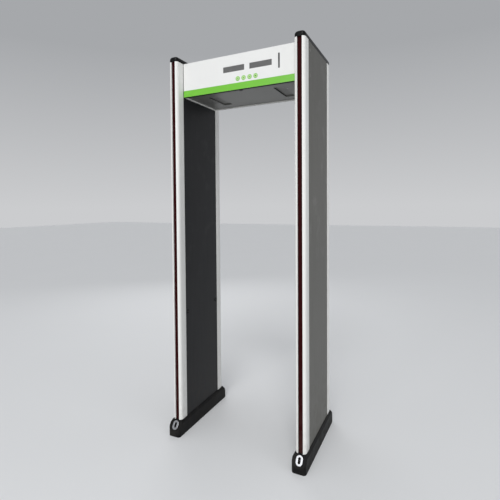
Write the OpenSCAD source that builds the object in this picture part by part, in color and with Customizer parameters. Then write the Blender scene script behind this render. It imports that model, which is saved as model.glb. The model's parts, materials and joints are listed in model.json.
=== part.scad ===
// Walk-through security gate: two sensor columns joined by a control header with a hinged fascia.
// Millimetres. +Z is up, +X runs from the left column to the right one, -Y faces the operator.
// The origin is on the floor, midway between the columns and midway along their depth.

/* [Passage] */
// Clear width between the two columns
passage_w = 700; // [600:10:1000]
// Clear height from the floor to the header's lips
passage_h = 1993; // [1700:1:2400]

/* [Columns] */
// Thickness of a column
column_t = 58; // [50:1:80]
// Depth of a column, from front nose to rear nose
column_d = 506; // [430:2:700]
// Depth of each end profile, from its nose to its seam
profile_l = 63; // [55:1:80]
// Corner radius of the end profiles
nose_r = 19; // [14:0.5:24]
// Wall of the end profiles
profile_wall = 2.5; // [2:0.1:4]
// Thickness of the side boards
board_t = 3; // [2:0.5:6]
// Depth of the side boards below the profile's faces
board_recess = 1; // [0.5:0.5:3]
// Open seam between a profile and a side board
seam_w = 2; // [1:0.5:4]
// Length of the profile's tongue behind the seam
tongue_l = 9; // [6:0.5:12]

/* [Light strips] */
// Width of a light strip
strip_w = 25; // [16:0.5:28]
// Depth of the strip's face below the nose
strip_recess = 8; // [2:0.5:12]
// Thickness of a light strip
strip_t = 3; // [2:0.5:5]
// Width of the ledge that each side of the strip rests on
strip_ledge = 3; // [2:0.5:5]
// Thickness of every circuit board
pcb_t = 1.6; // [1:0.1:2.4]

/* [Feet and caps] */
// Height of a foot
foot_h = 85; // [60:1:120]
// Height of the upright end of a foot's toe
toe_h = 36.5; // [20:0.5:50]
// Reach of a toe beyond the column's nose
toe_reach = 36; // [28:1:60]
// Width that a foot adds on each side of its column
foot_flare = 9.5; // [4:0.5:15]
// Corner radius of a foot, seen from above
toe_r = 16; // [8:1:20]
// Height of a top cap
cap_h = 32; // [24:1:45]
// Wall of a top cap
cap_wall = 3; // [2:0.5:5]
// Radius of a floor anchor hole
anchor_r = 6.5; // [4:0.5:7]
// Width of an anchor ring
ring_w = 36; // [28:1:40]
// Length of an anchor ring along the toe's slope
ring_l = 51; // [42:1:55]
// Thickness of an anchor ring
ring_t = 4; // [3:0.5:6]
// Length of the opening in an anchor ring
ring_slot_l = 30; // [24:1:34]

/* [Header] */
// Height of the header
header_h = 194; // [185:1:260]
// Distance of the header's top below the columns' top
header_drop = 1; // [0:1:20]
// Thickness of the header's sheet covers
sheet_t = 2; // [1.5:0.5:3]
// Thickness of the header's end plates
end_plate_t = 3; // [2:0.5:5]
// Height of the underside plate above the lips
lip_h = 8; // [5:1:15]
// Height of the lower bolts above the header's lips
bolt_low = 22; // [18:1:40]
// Height of the upper bolts above the header's lips
bolt_high = 150; // [120:1:160]
// Distance of the bolts behind the fascia door's tray
bolt_inset = 7; // [7:0.5:15]
// Radius of the header bolts
bolt_r = 4; // [3:0.5:4.5]
// Radius of the plugs that cover the bolts' access holes
plug_r = 10; // [9:0.5:14]

/* [Fascia door] */
// Depth of the fascia door's tray
tray_d = 18; // [16:1:24]
// Thickness of the fascia's front plate
fascia_t = 2.5; // [2:0.5:4]
// Running gap between the fascia door and the end plates
door_gap = 0.5; // [0.3:0.1:1.5]
// Radius of the hinge pins
hinge_r = 3; // [2:0.5:3.5]
// Height of the coloured trim along the fascia's lower edge
trim_h = 36.5; // [20:0.5:45]
// Thickness of the trim
trim_t = 1.5; // [1:0.1:2]

/* [Displays] */
// Width of a display window
window_w = 130; // [80:1:140]
// Height of a display window
window_h = 31.5; // [20:0.5:40]
// Distance of the left window's centre from the middle, negative to the left
window_left_x = -17.5; // [-40:0.5:0]
// Distance of the right window's centre from the middle
window_right_x = 143.7; // [140:0.1:160]
// Height of the windows' centre above the header's lips
window_z = 116.5; // [105:0.5:130]
// Width of the signal bar's lens
signal_w = 9; // [6:0.5:14]
// Height of the signal bar's lens
signal_h = 78; // [50:1:90]
// Distance of the signal bar from the middle
signal_x = 249; // [242:1:260]
// Height of the signal bar's centre above the header's lips
signal_z = 118; // [110:1:130]

/* [Buttons] */
// Radius of a button
button_r = 12.5; // [9:0.5:14]
// Distance between neighbouring buttons
button_pitch = 35.7; // [34:0.1:38]
// Distance of the row's middle from the header's middle
button_row_x = 61.5; // [50:0.5:70]
// Height of the buttons' centres above the header's lips
button_z = 58.5; // [55:0.5:62]
// Travel of a button
button_travel = 1.5; // [0.5:0.1:2]
// Distance that a button stands out of the fascia
button_proud = 1; // [0.5:0.1:2]

/* [Lock] */
// Radius of the lock barrel
barrel_r = 6; // [4:0.5:8]
// Distance of the lock from the middle
lock_x = 7.5; // [-20:0.5:20]
// Distance of the lock's axis from the header's front
lock_inset = 40; // [38:1:60]

/* [Hatches] */
// Width of a recessed hatch
hatch_w = 57; // [40:1:60]
// Length of a recessed hatch
hatch_l = 210; // [120:1:220]
// Distance of a hatch's centre from the middle
hatch_x = 208.5; // [205:0.5:215]
// Distance of the hatches' centre behind the middle
hatch_y = 10; // [-10:1:20]
// Depth of a hatch's recess
hatch_recess = 8; // [5:1:12]

/* [Beam sensors] */
// Height of the beam sensors
beam_z = 717; // [300:1:1500]
// Distance of a beam sensor from the profile's seam
beam_inset = 20; // [18:1:30]
// Radius of a beam sensor's bezel
bezel_r = 11.5; // [10:0.5:14]
// Radius of a beam sensor's body
sensor_r = 8; // [6:0.5:9]

/* [Coils] */
// Number of coils in the transmitting column
transmit_coils = 2; // [1:1:6]
// Number of coils in the receiving column
receive_coils = 6; // [2:1:10]
// Thickness of the frame and ribs of a coil former
former_rib = 12; // [8:1:20]
// Thickness of the web of a coil former
former_web = 4; // [3:0.5:8]
// Width of a coil's winding
coil_w = 10; // [6:1:20]
// Depth of a coil's winding
coil_d = 8; // [4:1:16]

/* [Fits] */
// Gap beside pieces that drop into a cut-out
fit_gap = 0.2; // [0.1:0.05:0.4]
// Radial clearance of a turning fit
run_gap = 0.05; // [0.03:0.01:0.08]
// Clearance between a moving piece and its stop
stop_gap = 0.3; // [0.2:0.05:0.6]

/* [Hidden] */
$fn = 64;
eps = 1;
left = -1;
right = 1;

header_top = passage_h + header_h;
column_top = header_top + header_drop;
column_l = column_top - foot_h;
header_d = column_d - 2 * profile_l;
front_y = -header_d / 2;
rear_y = header_d / 2;

// Columns, measured from the passage-side face outwards
board_in = board_recess + board_t;
board_span = header_d - 2 * seam_w;
groove_d = strip_recess + strip_t;
led_w = strip_w - strip_ledge;
led_end_gap = 12;
sensor_y = rear_y - beam_inset;
sensor_l = 25;
bezel_t = 2.5;
former_t = column_t - 2 * board_in;
former_d = header_d - 2 * (beam_inset + sensor_r) - 8;
former_l = passage_h - 38 - foot_h;

// Feet
foot_w = column_t + 2 * foot_flare;
foot_l = column_d + 2 * toe_reach;
foot_shoulder = 15;
foot_ledge = 2;
slope_top_y = column_d / 2 + 1;
slope_angle = atan2(foot_h - toe_h, foot_l / 2 - slope_top_y);
anchor_y = (slope_top_y + foot_l / 2) / 2;
slope_mid_z = (foot_h + toe_h) / 2;
ring_sink = ring_t / 2;
ring_pocket = 16;
well_base = 12;
well_wall = 8;

// Header
half_w = passage_w / 2 + board_recess;
plate_in = half_w - end_plate_t;
bay_front = front_y + tray_d + 4;
under_z = passage_h + lip_h;
floor_z = under_z + sheet_t;
bolt_y = rear_y - tray_d - bolt_inset;
bolt_heights = [passage_h + bolt_low, passage_h + bolt_high];
bolt_head_r = 1.6 * bolt_r;
washer_r = bolt_head_r + 2;
washer_t = 1.6;
bolt_head_h = 8;
nut_l = 8;
nut_r = 1.5 * bolt_r;
access_r = plug_r - 2;
plug_h = 3;
plug_rim = 0.8;
plug_dome_r = (plug_r * plug_r + pow(plug_h - plug_rim, 2)) / (2 * (plug_h - plug_rim));
connector_r = 12;
connector_y = 60;
connector_z = passage_h + 107;
connector_nut_r = 16;
connector_nut_t = 4;

// Hinge of the fascia door
knuckle_r = 5;
hinge_y = front_y + tray_d - 4;
hinge_z = header_top - sheet_t - knuckle_r;
ear_h = 8;
knuckle_l = 20;
fascia_half = plate_in - door_gap;
fascia_back = front_y + fascia_t;

// Displays, boards and buttons behind the fascia
window_t = 2;
window_face = fascia_back - window_t;
module_w = window_w + 10;
module_h = window_h + 10.5;
module_t = 12;
button_face = front_y - button_proud;
button_flange_r = button_r + 1.5;
button_flange_t = 1.5;
button_hole_r = button_r + stop_gap;
stem_r = 3;
stem_l = 2;
flange_y = fascia_back + stop_gap;
stem_end_y = flange_y + button_flange_t + stem_l;
switch_y = stem_end_y + button_travel + stop_gap;
switch_t = 2;
switch_w = 7;
control_y = switch_y + switch_t;
control_w = 3 * button_pitch + 2 * button_r + 30;
control_h = 34;
post_r = 3;

// Lock and its keeper
lock_y = front_y + lock_inset;
housing_r = barrel_r + 3;
lock_flange_r = housing_r + 2;
lock_flange_t = 4;
housing_top = floor_z + 13;
collar_r = barrel_r + 1.5;
collar_t = 3.2;
hook_t = 3;
hook_in = lock_inset - tray_d;
hook_out = hook_in + 6;
hook_span = 50;
hook_rest = 30;
hook_play = 3;
peg_r = 3;
peg_y = lock_y - hook_in + peg_r + hook_play;
keeper_w = 16;
keeper_t = 2;
keeper_z = housing_top - 4;

// Hatches in the underside
hatch_rim = 4;
hatch_flange = 15;
hatch_wall = 2;
hatch_z = under_z + hatch_recess;
hatch_screw_x = hatch_w / 2 + 9;
hatch_screw_y = -56;
screw_r = 2;

// Boards and units inside the header
inlet_x = plate_in - 48;
inlet_z = passage_h + 100;
inlet_w = 30;
inlet_h = 22;
inlet_l = 25;
socket_w = 24;
socket_h = 17;
socket_l = 20;

// ---- Placing helpers -------------------------------------------------------------------------

// Puts a piece drawn for the right column, with x measured outwards from its passage face
module on_column(side) {
    mirror([side < 0 ? 1 : 0, 0, 0]) {
        translate([passage_w / 2, 0, 0]) {
            children();
        }
    }
}

// Repeats a piece drawn at the front of a column at its rear
module front_and_rear() {
    children();
    mirror([0, 1, 0]) {
        children();
    }
}

// Puts a piece drawn on a flat plane onto the slope of the front toe
module on_slope() {
    translate([column_t / 2, -anchor_y, slope_mid_z]) {
        rotate([slope_angle, 0, 0]) {
            children();
        }
    }
}

// Points a piece drawn along +Z along +X
module along_x(x, y, z) {
    translate([x, y, z]) {
        rotate([0, 90, 0]) {
            children();
        }
    }
}

// Points a piece drawn along +Z along +Y
module along_y(x, y, z) {
    translate([x, y, z]) {
        rotate([-90, 0, 0]) {
            children();
        }
    }
}

// Box given by its lowest corner and its highest corner
module span_box(low, high) {
    translate(low) {
        cube(high - low);
    }
}

// Flat slot shape with round ends, long along Y
module stadium(width, length) {
    offset_y = (length - width) / 2;
    translate([-width / 2, -offset_y]) {
        square([width, 2 * offset_y]);
    }
    for (end = [-1, 1]) {
        translate([0, end * offset_y]) {
            circle(width / 2);
        }
    }
}

// Rectangle with its corners rounded, lowest corner at the origin
module rounded_box(width, length, radius) {
    translate([radius, 0]) {
        square([width - 2 * radius, length]);
    }
    translate([0, radius]) {
        square([width, length - 2 * radius]);
    }
    for (x = [radius, width - radius], y = [radius, length - radius]) {
        translate([x, y]) {
            circle(radius);
        }
    }
}

// ---- Columns ---------------------------------------------------------------------------------

// Plan of a nose: a rectangle whose two front corners are round
module nose_plan(width, length, radius) {
    translate([0, radius]) {
        square([width, length - radius]);
    }
    translate([radius, 0]) {
        square([width - 2 * radius, length]);
    }
    for (x = [radius, width - radius]) {
        translate([x, radius]) {
            circle(radius);
        }
    }
}

// Hollow of an end profile, around the channel of its light strip
module profile_hollow() {
    channel_w = strip_w + 2 * (fit_gap + profile_wall);
    difference() {
        translate([profile_wall, profile_wall]) {
            nose_plan(column_t - 2 * profile_wall, profile_l - 2 * profile_wall, nose_r - profile_wall);
        }
        translate([column_t / 2 - channel_w / 2, 0]) {
            square([channel_w, groove_d + profile_wall]);
        }
    }
}

// Cross-section of an end profile, nose at the bottom
module profile_section() {
    groove_w = strip_w + 2 * fit_gap;
    slot_w = strip_w - 2 * strip_ledge;
    difference() {
        nose_plan(column_t, profile_l, nose_r);
        profile_hollow();
        translate([column_t / 2 - groove_w / 2, -eps]) {
            square([groove_w, groove_d + eps]);
        }
        translate([column_t / 2 - slot_w / 2, 0]) {
            square([slot_w, groove_d + profile_wall + eps]);
        }
    }
    for (x = [board_in, column_t - board_in - profile_wall]) {
        translate([x, profile_l - profile_wall]) {
            square([profile_wall, profile_wall + tongue_l]);
        }
    }
}

module front_profile() {
    translate([0, -column_d / 2, foot_h]) {
        linear_extrude(column_l) {
            profile_section();
        }
    }
}

module rear_profile() {
    mirror([0, 1, 0]) {
        front_profile();
    }
}

// Side board of a column, with its passage-side or outer face at x
module side_board(x) {
    translate([x, -board_span / 2, foot_h]) {
        cube([board_t, board_span, column_l]);
    }
}

module outer_board() {
    difference() {
        side_board(column_t - board_in);
        for (y = [-bolt_y, bolt_y], z = bolt_heights) {
            along_x(column_t - board_in - eps, y, z) {
                cylinder(h = board_t + 2 * eps, r = access_r);
            }
        }
    }
}

module inner_board() {
    difference() {
        side_board(board_recess);
        for (y = [-bolt_y, bolt_y], z = bolt_heights) {
            along_x(0, y, z) {
                cylinder(h = board_in + eps, r = bolt_r + stop_gap);
            }
        }
        for (y = [-sensor_y, sensor_y]) {
            along_x(0, y, beam_z) {
                cylinder(h = board_in + eps, r = sensor_r + stop_gap);
            }
        }
        along_x(0, connector_y, connector_z) {
            cylinder(h = board_in + eps, r = connector_r + stop_gap);
        }
    }
}

module light_strip() {
    translate([column_t / 2 - strip_w / 2, strip_recess - column_d / 2, foot_h]) {
        cube([strip_w, strip_t, column_l]);
    }
}

module led_board() {
    translate([column_t / 2 - led_w / 2, groove_d + profile_wall - column_d / 2, foot_h + led_end_gap]) {
        cube([led_w, pcb_t, column_l - 2 * led_end_gap]);
    }
}

// Height of one bay of a coil former that holds a number of coils
function bay_l(count) = (former_l - (count + 1) * former_rib) / count;

// Ribbed former between the side boards; each bay holds one coil
module coil_former(count) {
    bay_d = former_d - 2 * former_rib;
    bay_t = (former_t - former_web) / 2;
    difference() {
        translate([board_in, -former_d / 2, foot_h]) {
            cube([former_t, former_d, former_l]);
        }
        for (i = [0 : count - 1], x = [board_in - eps, board_in + bay_t + former_web]) {
            translate([x, -bay_d / 2, foot_h + former_rib + i * (bay_l(count) + former_rib)]) {
                cube([bay_t + eps, bay_d, bay_l(count)]);
            }
        }
    }
}

// Flat wound coils that lie on the former's web, on the passage side
module coils(count) {
    coil_width = former_d - 2 * former_rib - 2 * fit_gap;
    coil_height = bay_l(count) - 2 * fit_gap;
    x = board_in + (former_t - former_web) / 2 - coil_d;
    for (i = [0 : count - 1]) {
        z = foot_h + former_rib + i * (bay_l(count) + former_rib) + fit_gap;
        translate([x, -coil_width / 2, z]) {
            difference() {
                cube([coil_d, coil_width, coil_height]);
                translate([-eps, coil_w, coil_w]) {
                    cube([coil_d + 2 * eps, coil_width - 2 * coil_w, coil_height - 2 * coil_w]);
                }
            }
        }
    }
}

module beam_sensors() {
    for (y = [-sensor_y, sensor_y]) {
        along_x(board_recess - bezel_t, y, beam_z) {
            difference() {
                cylinder(h = bezel_t, r = bezel_r);
                translate([0, 0, -eps]) {
                    cylinder(h = eps + bezel_t / 2, r = sensor_r - 2);
                }
            }
        }
        along_x(board_recess, y, beam_z) {
            cylinder(h = sensor_l, r = sensor_r);
        }
    }
}

// Upright view of a cap's form: its two top corners are round, and it reaches down by the skirt
module cap_view(width, inset, skirt) {
    translate([inset - width / 2, column_top + cap_h - inset]) {
        mirror([0, 1]) {
            nose_plan(width - 2 * inset, cap_h - inset + skirt, nose_r - inset);
        }
    }
}

// Form of a cap, round in plan and along its top edges, drawn in by the inset on every side
module cap_form(inset, skirt) {
    intersection() {
        translate([inset, inset - column_d / 2, column_top - skirt]) {
            linear_extrude(cap_h + skirt + eps) {
                rounded_box(column_t - 2 * inset, column_d - 2 * inset, nose_r - inset);
            }
        }
        translate([column_t / 2, 0, 0]) {
            rotate([90, 0, 0]) {
                linear_extrude(column_d + 2 * eps, center = true) {
                    cap_view(column_t, inset, skirt);
                }
            }
        }
        rotate([90, 0, 90]) {
            linear_extrude(column_t + eps) {
                cap_view(column_d, inset, skirt);
            }
        }
    }
}

module top_cap() {
    difference() {
        cap_form(0, 0);
        cap_form(cap_wall, eps);
    }
}

// Side view of a foot: upright toes, sloping shoulders, flat top
module foot_side() {
    polygon([
        [-foot_l / 2, 0],
        [foot_l / 2, 0],
        [foot_l / 2, toe_h],
        [slope_top_y, foot_h],
        [-slope_top_y, foot_h],
        [-foot_l / 2, toe_h]
    ]);
}

// End view of a foot: upright sides drawn in to a narrow ledge under the column
module foot_end() {
    polygon([
        [-foot_flare, 0],
        [column_t + foot_flare, 0],
        [column_t + foot_flare, foot_h - foot_shoulder],
        [column_t + foot_ledge, foot_h],
        [-foot_ledge, foot_h],
        [-foot_flare, foot_h - foot_shoulder]
    ]);
}

module foot() {
    difference() {
        intersection() {
            translate([-foot_flare, 0, 0]) {
                rotate([90, 0, 90]) {
                    linear_extrude(foot_w) {
                        foot_side();
                    }
                }
            }
            rotate([90, 0, 0]) {
                linear_extrude(foot_l, center = true) {
                    foot_end();
                }
            }
            translate([-foot_flare, -foot_l / 2, 0]) {
                linear_extrude(foot_h) {
                    rounded_box(foot_w, foot_l, toe_r);
                }
            }
        }
        translate([well_wall, -board_span / 2, well_base]) {
            cube([column_t - 2 * well_wall, board_span, foot_h]);
        }
        front_and_rear() {
            translate([column_t / 2, -anchor_y, -eps]) {
                cylinder(h = slope_mid_z, r = anchor_r);
            }
            on_slope() {
                translate([0, 0, -ring_sink]) {
                    linear_extrude(ring_t) {
                        stadium(ring_w + 2 * fit_gap, ring_l + 2 * fit_gap);
                    }
                }
                translate([0, 0, -ring_pocket]) {
                    linear_extrude(ring_pocket + eps) {
                        stadium(2 * anchor_r, ring_slot_l);
                    }
                }
            }
        }
    }
}

module anchor_rings() {
    front_and_rear() {
        on_slope() {
            translate([0, 0, -ring_sink]) {
                linear_extrude(ring_t) {
                    difference() {
                        stadium(ring_w, ring_l);
                        stadium(2 * anchor_r, ring_slot_l);
                    }
                }
            }
        }
    }
}

// Bolts that hold the header: each clamps the passage-side board to an end plate
module header_bolts() {
    for (y = [-bolt_y, bolt_y], z = bolt_heights) {
        along_x(board_in, y, z) {
            cylinder(h = washer_t, r = washer_r);
            translate([0, 0, washer_t]) {
                cylinder(h = bolt_head_h, r = bolt_head_r, $fn = 6);
            }
        }
        along_x(board_recess - end_plate_t - nut_l - 2, y, z) {
            cylinder(h = board_t + end_plate_t + nut_l + 2, r = bolt_r);
        }
    }
}

// Half section of a plug's domed head
module plug_section() {
    intersection() {
        translate([0, plug_h - plug_dome_r]) {
            circle(plug_dome_r);
        }
        square([plug_r, plug_h + eps]);
    }
}

module bolt_plugs() {
    face_x = column_t - board_recess;
    for (y = [-bolt_y, bolt_y], z = bolt_heights) {
        along_x(face_x, y, z) {
            rotate_extrude() {
                plug_section();
            }
        }
        along_x(face_x - board_t - 3, y, z) {
            cylinder(h = board_t + 3, r = access_r - fit_gap);
        }
    }
}

// Round cable connector through the passage-side board and the header's end plate
module connector() {
    back_x = board_recess - end_plate_t;
    along_x(back_x - 14, connector_y, connector_z) {
        cylinder(h = 14 + end_plate_t + board_t + 16, r = connector_r);
    }
    along_x(back_x - connector_nut_t, connector_y, connector_z) {
        cylinder(h = connector_nut_t, r = connector_nut_r, $fn = 6);
    }
    along_x(board_in, connector_y, connector_z) {
        cylinder(h = connector_nut_t, r = connector_nut_r, $fn = 6);
    }
}

module left_front_profile() { color("white") on_column(left) front_profile(); }
module right_front_profile() { color("white") on_column(right) front_profile(); }
module left_rear_profile() { color("white") on_column(left) rear_profile(); }
module right_rear_profile() { color("white") on_column(right) rear_profile(); }
module left_outer_board() { color("dimgray") on_column(left) outer_board(); }
module right_outer_board() { color("dimgray") on_column(right) outer_board(); }
module left_inner_board() { color("dimgray") on_column(left) inner_board(); }
module right_inner_board() { color("dimgray") on_column(right) inner_board(); }
module left_front_light() { color("darkred") on_column(left) light_strip(); }
module right_front_light() { color("darkred") on_column(right) light_strip(); }
module left_rear_light() { color("darkred") on_column(left) mirror([0, 1, 0]) light_strip(); }
module right_rear_light() { color("darkred") on_column(right) mirror([0, 1, 0]) light_strip(); }
module left_led_boards() { color("darkgreen") on_column(left) front_and_rear() led_board(); }
module right_led_boards() { color("darkgreen") on_column(right) front_and_rear() led_board(); }
module left_coil_former() { color("wheat") on_column(left) coil_former(transmit_coils); }
module right_coil_former() { color("wheat") on_column(right) coil_former(receive_coils); }
module left_coils() { color("peru") on_column(left) coils(transmit_coils); }
module right_coils() { color("peru") on_column(right) coils(receive_coils); }
module left_beam_sensors() { color("black") on_column(left) beam_sensors(); }
module right_beam_sensors() { color("black") on_column(right) beam_sensors(); }
module left_top_cap() { color("black") on_column(left) top_cap(); }
module right_top_cap() { color("black") on_column(right) top_cap(); }
module left_foot() { color("black") on_column(left) foot(); }
module right_foot() { color("black") on_column(right) foot(); }
module left_anchor_rings() { color("silver") on_column(left) anchor_rings(); }
module right_anchor_rings() { color("silver") on_column(right) anchor_rings(); }
module left_header_bolts() { color("silver") on_column(left) header_bolts(); }
module right_header_bolts() { color("silver") on_column(right) header_bolts(); }
module left_bolt_plugs() { color("lightgray") on_column(left) bolt_plugs(); }
module right_bolt_plugs() { color("lightgray") on_column(right) bolt_plugs(); }
module left_connector() { color("black") on_column(left) connector(); }
module right_connector() { color("black") on_column(right) connector(); }

// ---- Header chassis --------------------------------------------------------------------------

module top_cover() {
    color("whitesmoke") {
        span_box([-half_w, bay_front, header_top - sheet_t], [half_w, rear_y, header_top]);
    }
}

module rear_cover() {
    color("whitesmoke") {
        difference() {
            span_box([-half_w, rear_y - sheet_t, passage_h], [half_w, rear_y, header_top - sheet_t]);
            translate([inlet_x - inlet_w / 2 - fit_gap, rear_y - sheet_t - eps, inlet_z - inlet_h / 2 - fit_gap]) {
                cube([inlet_w + 2 * fit_gap, sheet_t + 2 * eps, inlet_h + 2 * fit_gap]);
            }
        }
    }
}

// End plate drawn for the right column, with its hinge ear and weld nuts
module end_plate() {
    back_x = board_recess - end_plate_t;
    difference() {
        union() {
            span_box([back_x, bay_front, passage_h], [board_recess, rear_y - sheet_t, header_top - sheet_t]);
            span_box(
                [back_x, hinge_y - ear_h, hinge_z - ear_h],
                [board_recess, bay_front + eps, header_top - sheet_t]
            );
            for (y = [-bolt_y, bolt_y], z = bolt_heights) {
                along_x(back_x - nut_l, y, z) {
                    cylinder(h = nut_l + eps, r = nut_r);
                }
            }
        }
        for (y = [-bolt_y, bolt_y], z = bolt_heights) {
            along_x(back_x - nut_l - eps, y, z) {
                cylinder(h = nut_l + end_plate_t + 2 * eps, r = bolt_r + run_gap);
            }
        }
        along_x(back_x - eps, connector_y, connector_z) {
            cylinder(h = end_plate_t + 2 * eps, r = connector_r + stop_gap);
        }
        along_x(back_x - eps, hinge_y, hinge_z) {
            cylinder(h = end_plate_t + 2 * eps, r = hinge_r + run_gap);
        }
    }
}

module left_end_plate() { color("gainsboro") on_column(left) end_plate(); }
module right_end_plate() { color("gainsboro") on_column(right) end_plate(); }

// Underside plate with two recessed pockets and the lock's hole
module underside_plate() {
    color("gainsboro") {
        difference() {
            union() {
                span_box([-plate_in, bay_front, under_z], [plate_in, rear_y - sheet_t, floor_z]);
                for (x = [-hatch_x, hatch_x]) {
                    translate([x - hatch_w / 2 - hatch_wall, hatch_y - hatch_l / 2 - hatch_wall, under_z]) {
                        cube([hatch_w + 2 * hatch_wall, hatch_l + 2 * hatch_wall, hatch_recess]);
                    }
                }
            }
            for (x = [-hatch_x, hatch_x]) {
                translate([x - hatch_w / 2, hatch_y - hatch_l / 2, under_z - eps]) {
                    cube([hatch_w, hatch_l, hatch_recess + 2 * eps]);
                }
            }
            for (x = [-1, 1]) {
                translate([x * (hatch_x + hatch_screw_x), hatch_y + hatch_screw_y, under_z - eps]) {
                    cylinder(h = sheet_t + 2 * eps, r = screw_r + stop_gap);
                }
            }
            translate([lock_x, lock_y, under_z - eps]) {
                cylinder(h = sheet_t + 2 * eps, r = housing_r + fit_gap);
            }
        }
    }
}

// Hatch drawn for the right pocket: a plate on the pocket's walls with one screw boss
module hatch() {
    low_x = hatch_x - hatch_w / 2 - hatch_rim;
    high_x = hatch_x + hatch_w / 2 + hatch_flange;
    low_y = hatch_y - hatch_l / 2 - hatch_rim;
    high_y = hatch_y + hatch_l / 2 + hatch_rim;
    difference() {
        union() {
            span_box([low_x, low_y, hatch_z], [high_x, high_y, hatch_z + sheet_t]);
            translate([hatch_x + hatch_screw_x, hatch_y + hatch_screw_y, floor_z]) {
                cylinder(h = hatch_z - floor_z + eps, r = 5);
            }
        }
        translate([hatch_x + hatch_screw_x, hatch_y + hatch_screw_y, floor_z - eps]) {
            cylinder(h = hatch_recess + 2 * eps, r = screw_r + run_gap);
        }
    }
}

module left_hatch() { color("gray") mirror([1, 0, 0]) hatch(); }
module right_hatch() { color("gray") hatch(); }

module hatch_screws() {
    color("silver") {
        for (x = [-1, 1]) {
            translate([x * (hatch_x + hatch_screw_x), hatch_y + hatch_screw_y, under_z]) {
                translate([0, 0, -1.5]) {
                    cylinder(h = 1.5, r = 4);
                }
                cylinder(h = hatch_recess, r = screw_r);
            }
        }
    }
}

module hinge_pins() {
    color("silver") {
        for (side = [left, right]) {
            on_column(side) {
                along_x(board_recess - end_plate_t - door_gap - sheet_t - knuckle_l, hinge_y, hinge_z) {
                    cylinder(h = knuckle_l + sheet_t + door_gap + end_plate_t, r = hinge_r);
                }
            }
        }
    }
}

module lock_housing() {
    color("black") {
        translate([lock_x, lock_y, 0]) {
            difference() {
                union() {
                    translate([0, 0, under_z - lock_flange_t]) {
                        cylinder(h = lock_flange_t, r = lock_flange_r);
                    }
                    translate([0, 0, under_z - eps]) {
                        cylinder(h = housing_top - under_z + eps, r = housing_r);
                    }
                    translate([0, 0, floor_z]) {
                        cylinder(h = 5, r = lock_flange_r + 1, $fn = 6);
                    }
                }
                translate([0, 0, under_z - lock_flange_t - eps]) {
                    cylinder(h = housing_top - under_z + lock_flange_t + 2 * eps, r = barrel_r + run_gap);
                }
            }
        }
    }
}

// Flat hook drawn round the lock's axis, with its arm at the angle zero
module hook_plan() {
    intersection() {
        difference() {
            circle(hook_out);
            circle(hook_in);
        }
        polygon([
            [0, 0],
            [2 * hook_out, 0],
            [2 * hook_out, -2 * hook_out],
            [2 * hook_out * cos(hook_span), -2 * hook_out * sin(hook_span)]
        ]);
    }
    translate([0, -3]) {
        square([hook_in + 3, 6]);
    }
    circle(barrel_r + 2);
}

// Key barrel with its collar below the housing and its hook above it
module lock_barrel() {
    collar_z = under_z - lock_flange_t - stop_gap - collar_t;
    color("silver") {
        translate([lock_x, lock_y, 0]) {
            difference() {
                union() {
                    translate([0, 0, collar_z]) {
                        cylinder(h = collar_t, r = collar_r);
                    }
                    translate([0, 0, collar_z]) {
                        cylinder(h = housing_top + stop_gap + hook_t - collar_z, r = barrel_r);
                    }
                    translate([0, 0, housing_top + stop_gap]) {
                        rotate([0, 0, hook_rest]) {
                            linear_extrude(hook_t) {
                                hook_plan();
                            }
                        }
                    }
                }
                translate([-0.8, -3.5, collar_z - eps]) {
                    cube([1.6, 7, 6]);
                }
            }
        }
    }
}

// ---- Units inside the header -----------------------------------------------------------------

module main_board() {
    color("darkgreen") {
        for (x = [-132, 52], y = [-52, 82]) {
            translate([x, y, floor_z]) {
                cylinder(h = 15, r = 4);
            }
        }
        span_box([-140, -60, floor_z + 15], [60, 90, floor_z + 15 + pcb_t]);
        span_box([-110, -30, floor_z + 15 + pcb_t], [-70, 10, floor_z + 20]);
        span_box([-40, -40, floor_z + 15 + pcb_t], [-20, 20, floor_z + 32]);
        span_box([10, -40, floor_z + 15 + pcb_t], [40, 70, floor_z + 28]);
    }
}

module power_supply() {
    color("silver") {
        span_box([plate_in - 84, -60, floor_z], [plate_in - 4, 100, floor_z + 45]);
    }
}

module sounder() {
    color("black") {
        translate([-plate_in + 48, 0, floor_z]) {
            cylinder(h = 6, r = 30);
            cylinder(h = 25, r = 24);
        }
    }
}

module mains_inlet() {
    color("black") {
        difference() {
            union() {
                span_box(
                    [inlet_x - inlet_w / 2, rear_y - inlet_l, inlet_z - inlet_h / 2],
                    [inlet_x + inlet_w / 2, rear_y + eps, inlet_z + inlet_h / 2]
                );
                span_box(
                    [inlet_x - inlet_w / 2 - 10, rear_y, inlet_z - inlet_h / 2 - 3],
                    [inlet_x + inlet_w / 2 + 10, rear_y + sheet_t, inlet_z + inlet_h / 2 + 3]
                );
            }
            span_box(
                [inlet_x - socket_w / 2, rear_y + sheet_t - socket_l, inlet_z - socket_h / 2],
                [inlet_x + socket_w / 2, rear_y + sheet_t + eps, inlet_z + socket_h / 2]
            );
        }
        for (pin = [[-7, -1.5], [0, 2.5], [7, -1.5]]) {
            translate([inlet_x + pin[0] - 1, rear_y + sheet_t - socket_l - eps, inlet_z + pin[1] - 2]) {
                cube([2, 12 + eps, 4]);
            }
        }
    }
}

module wiring_loom() {
    color("black") {
        span_box(
            [-plate_in + 14, rear_y - sheet_t - 12, header_top - 40],
            [plate_in - 14, rear_y - sheet_t, header_top - 26]
        );
    }
}

// ---- Fascia door and what it carries ---------------------------------------------------------

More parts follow.
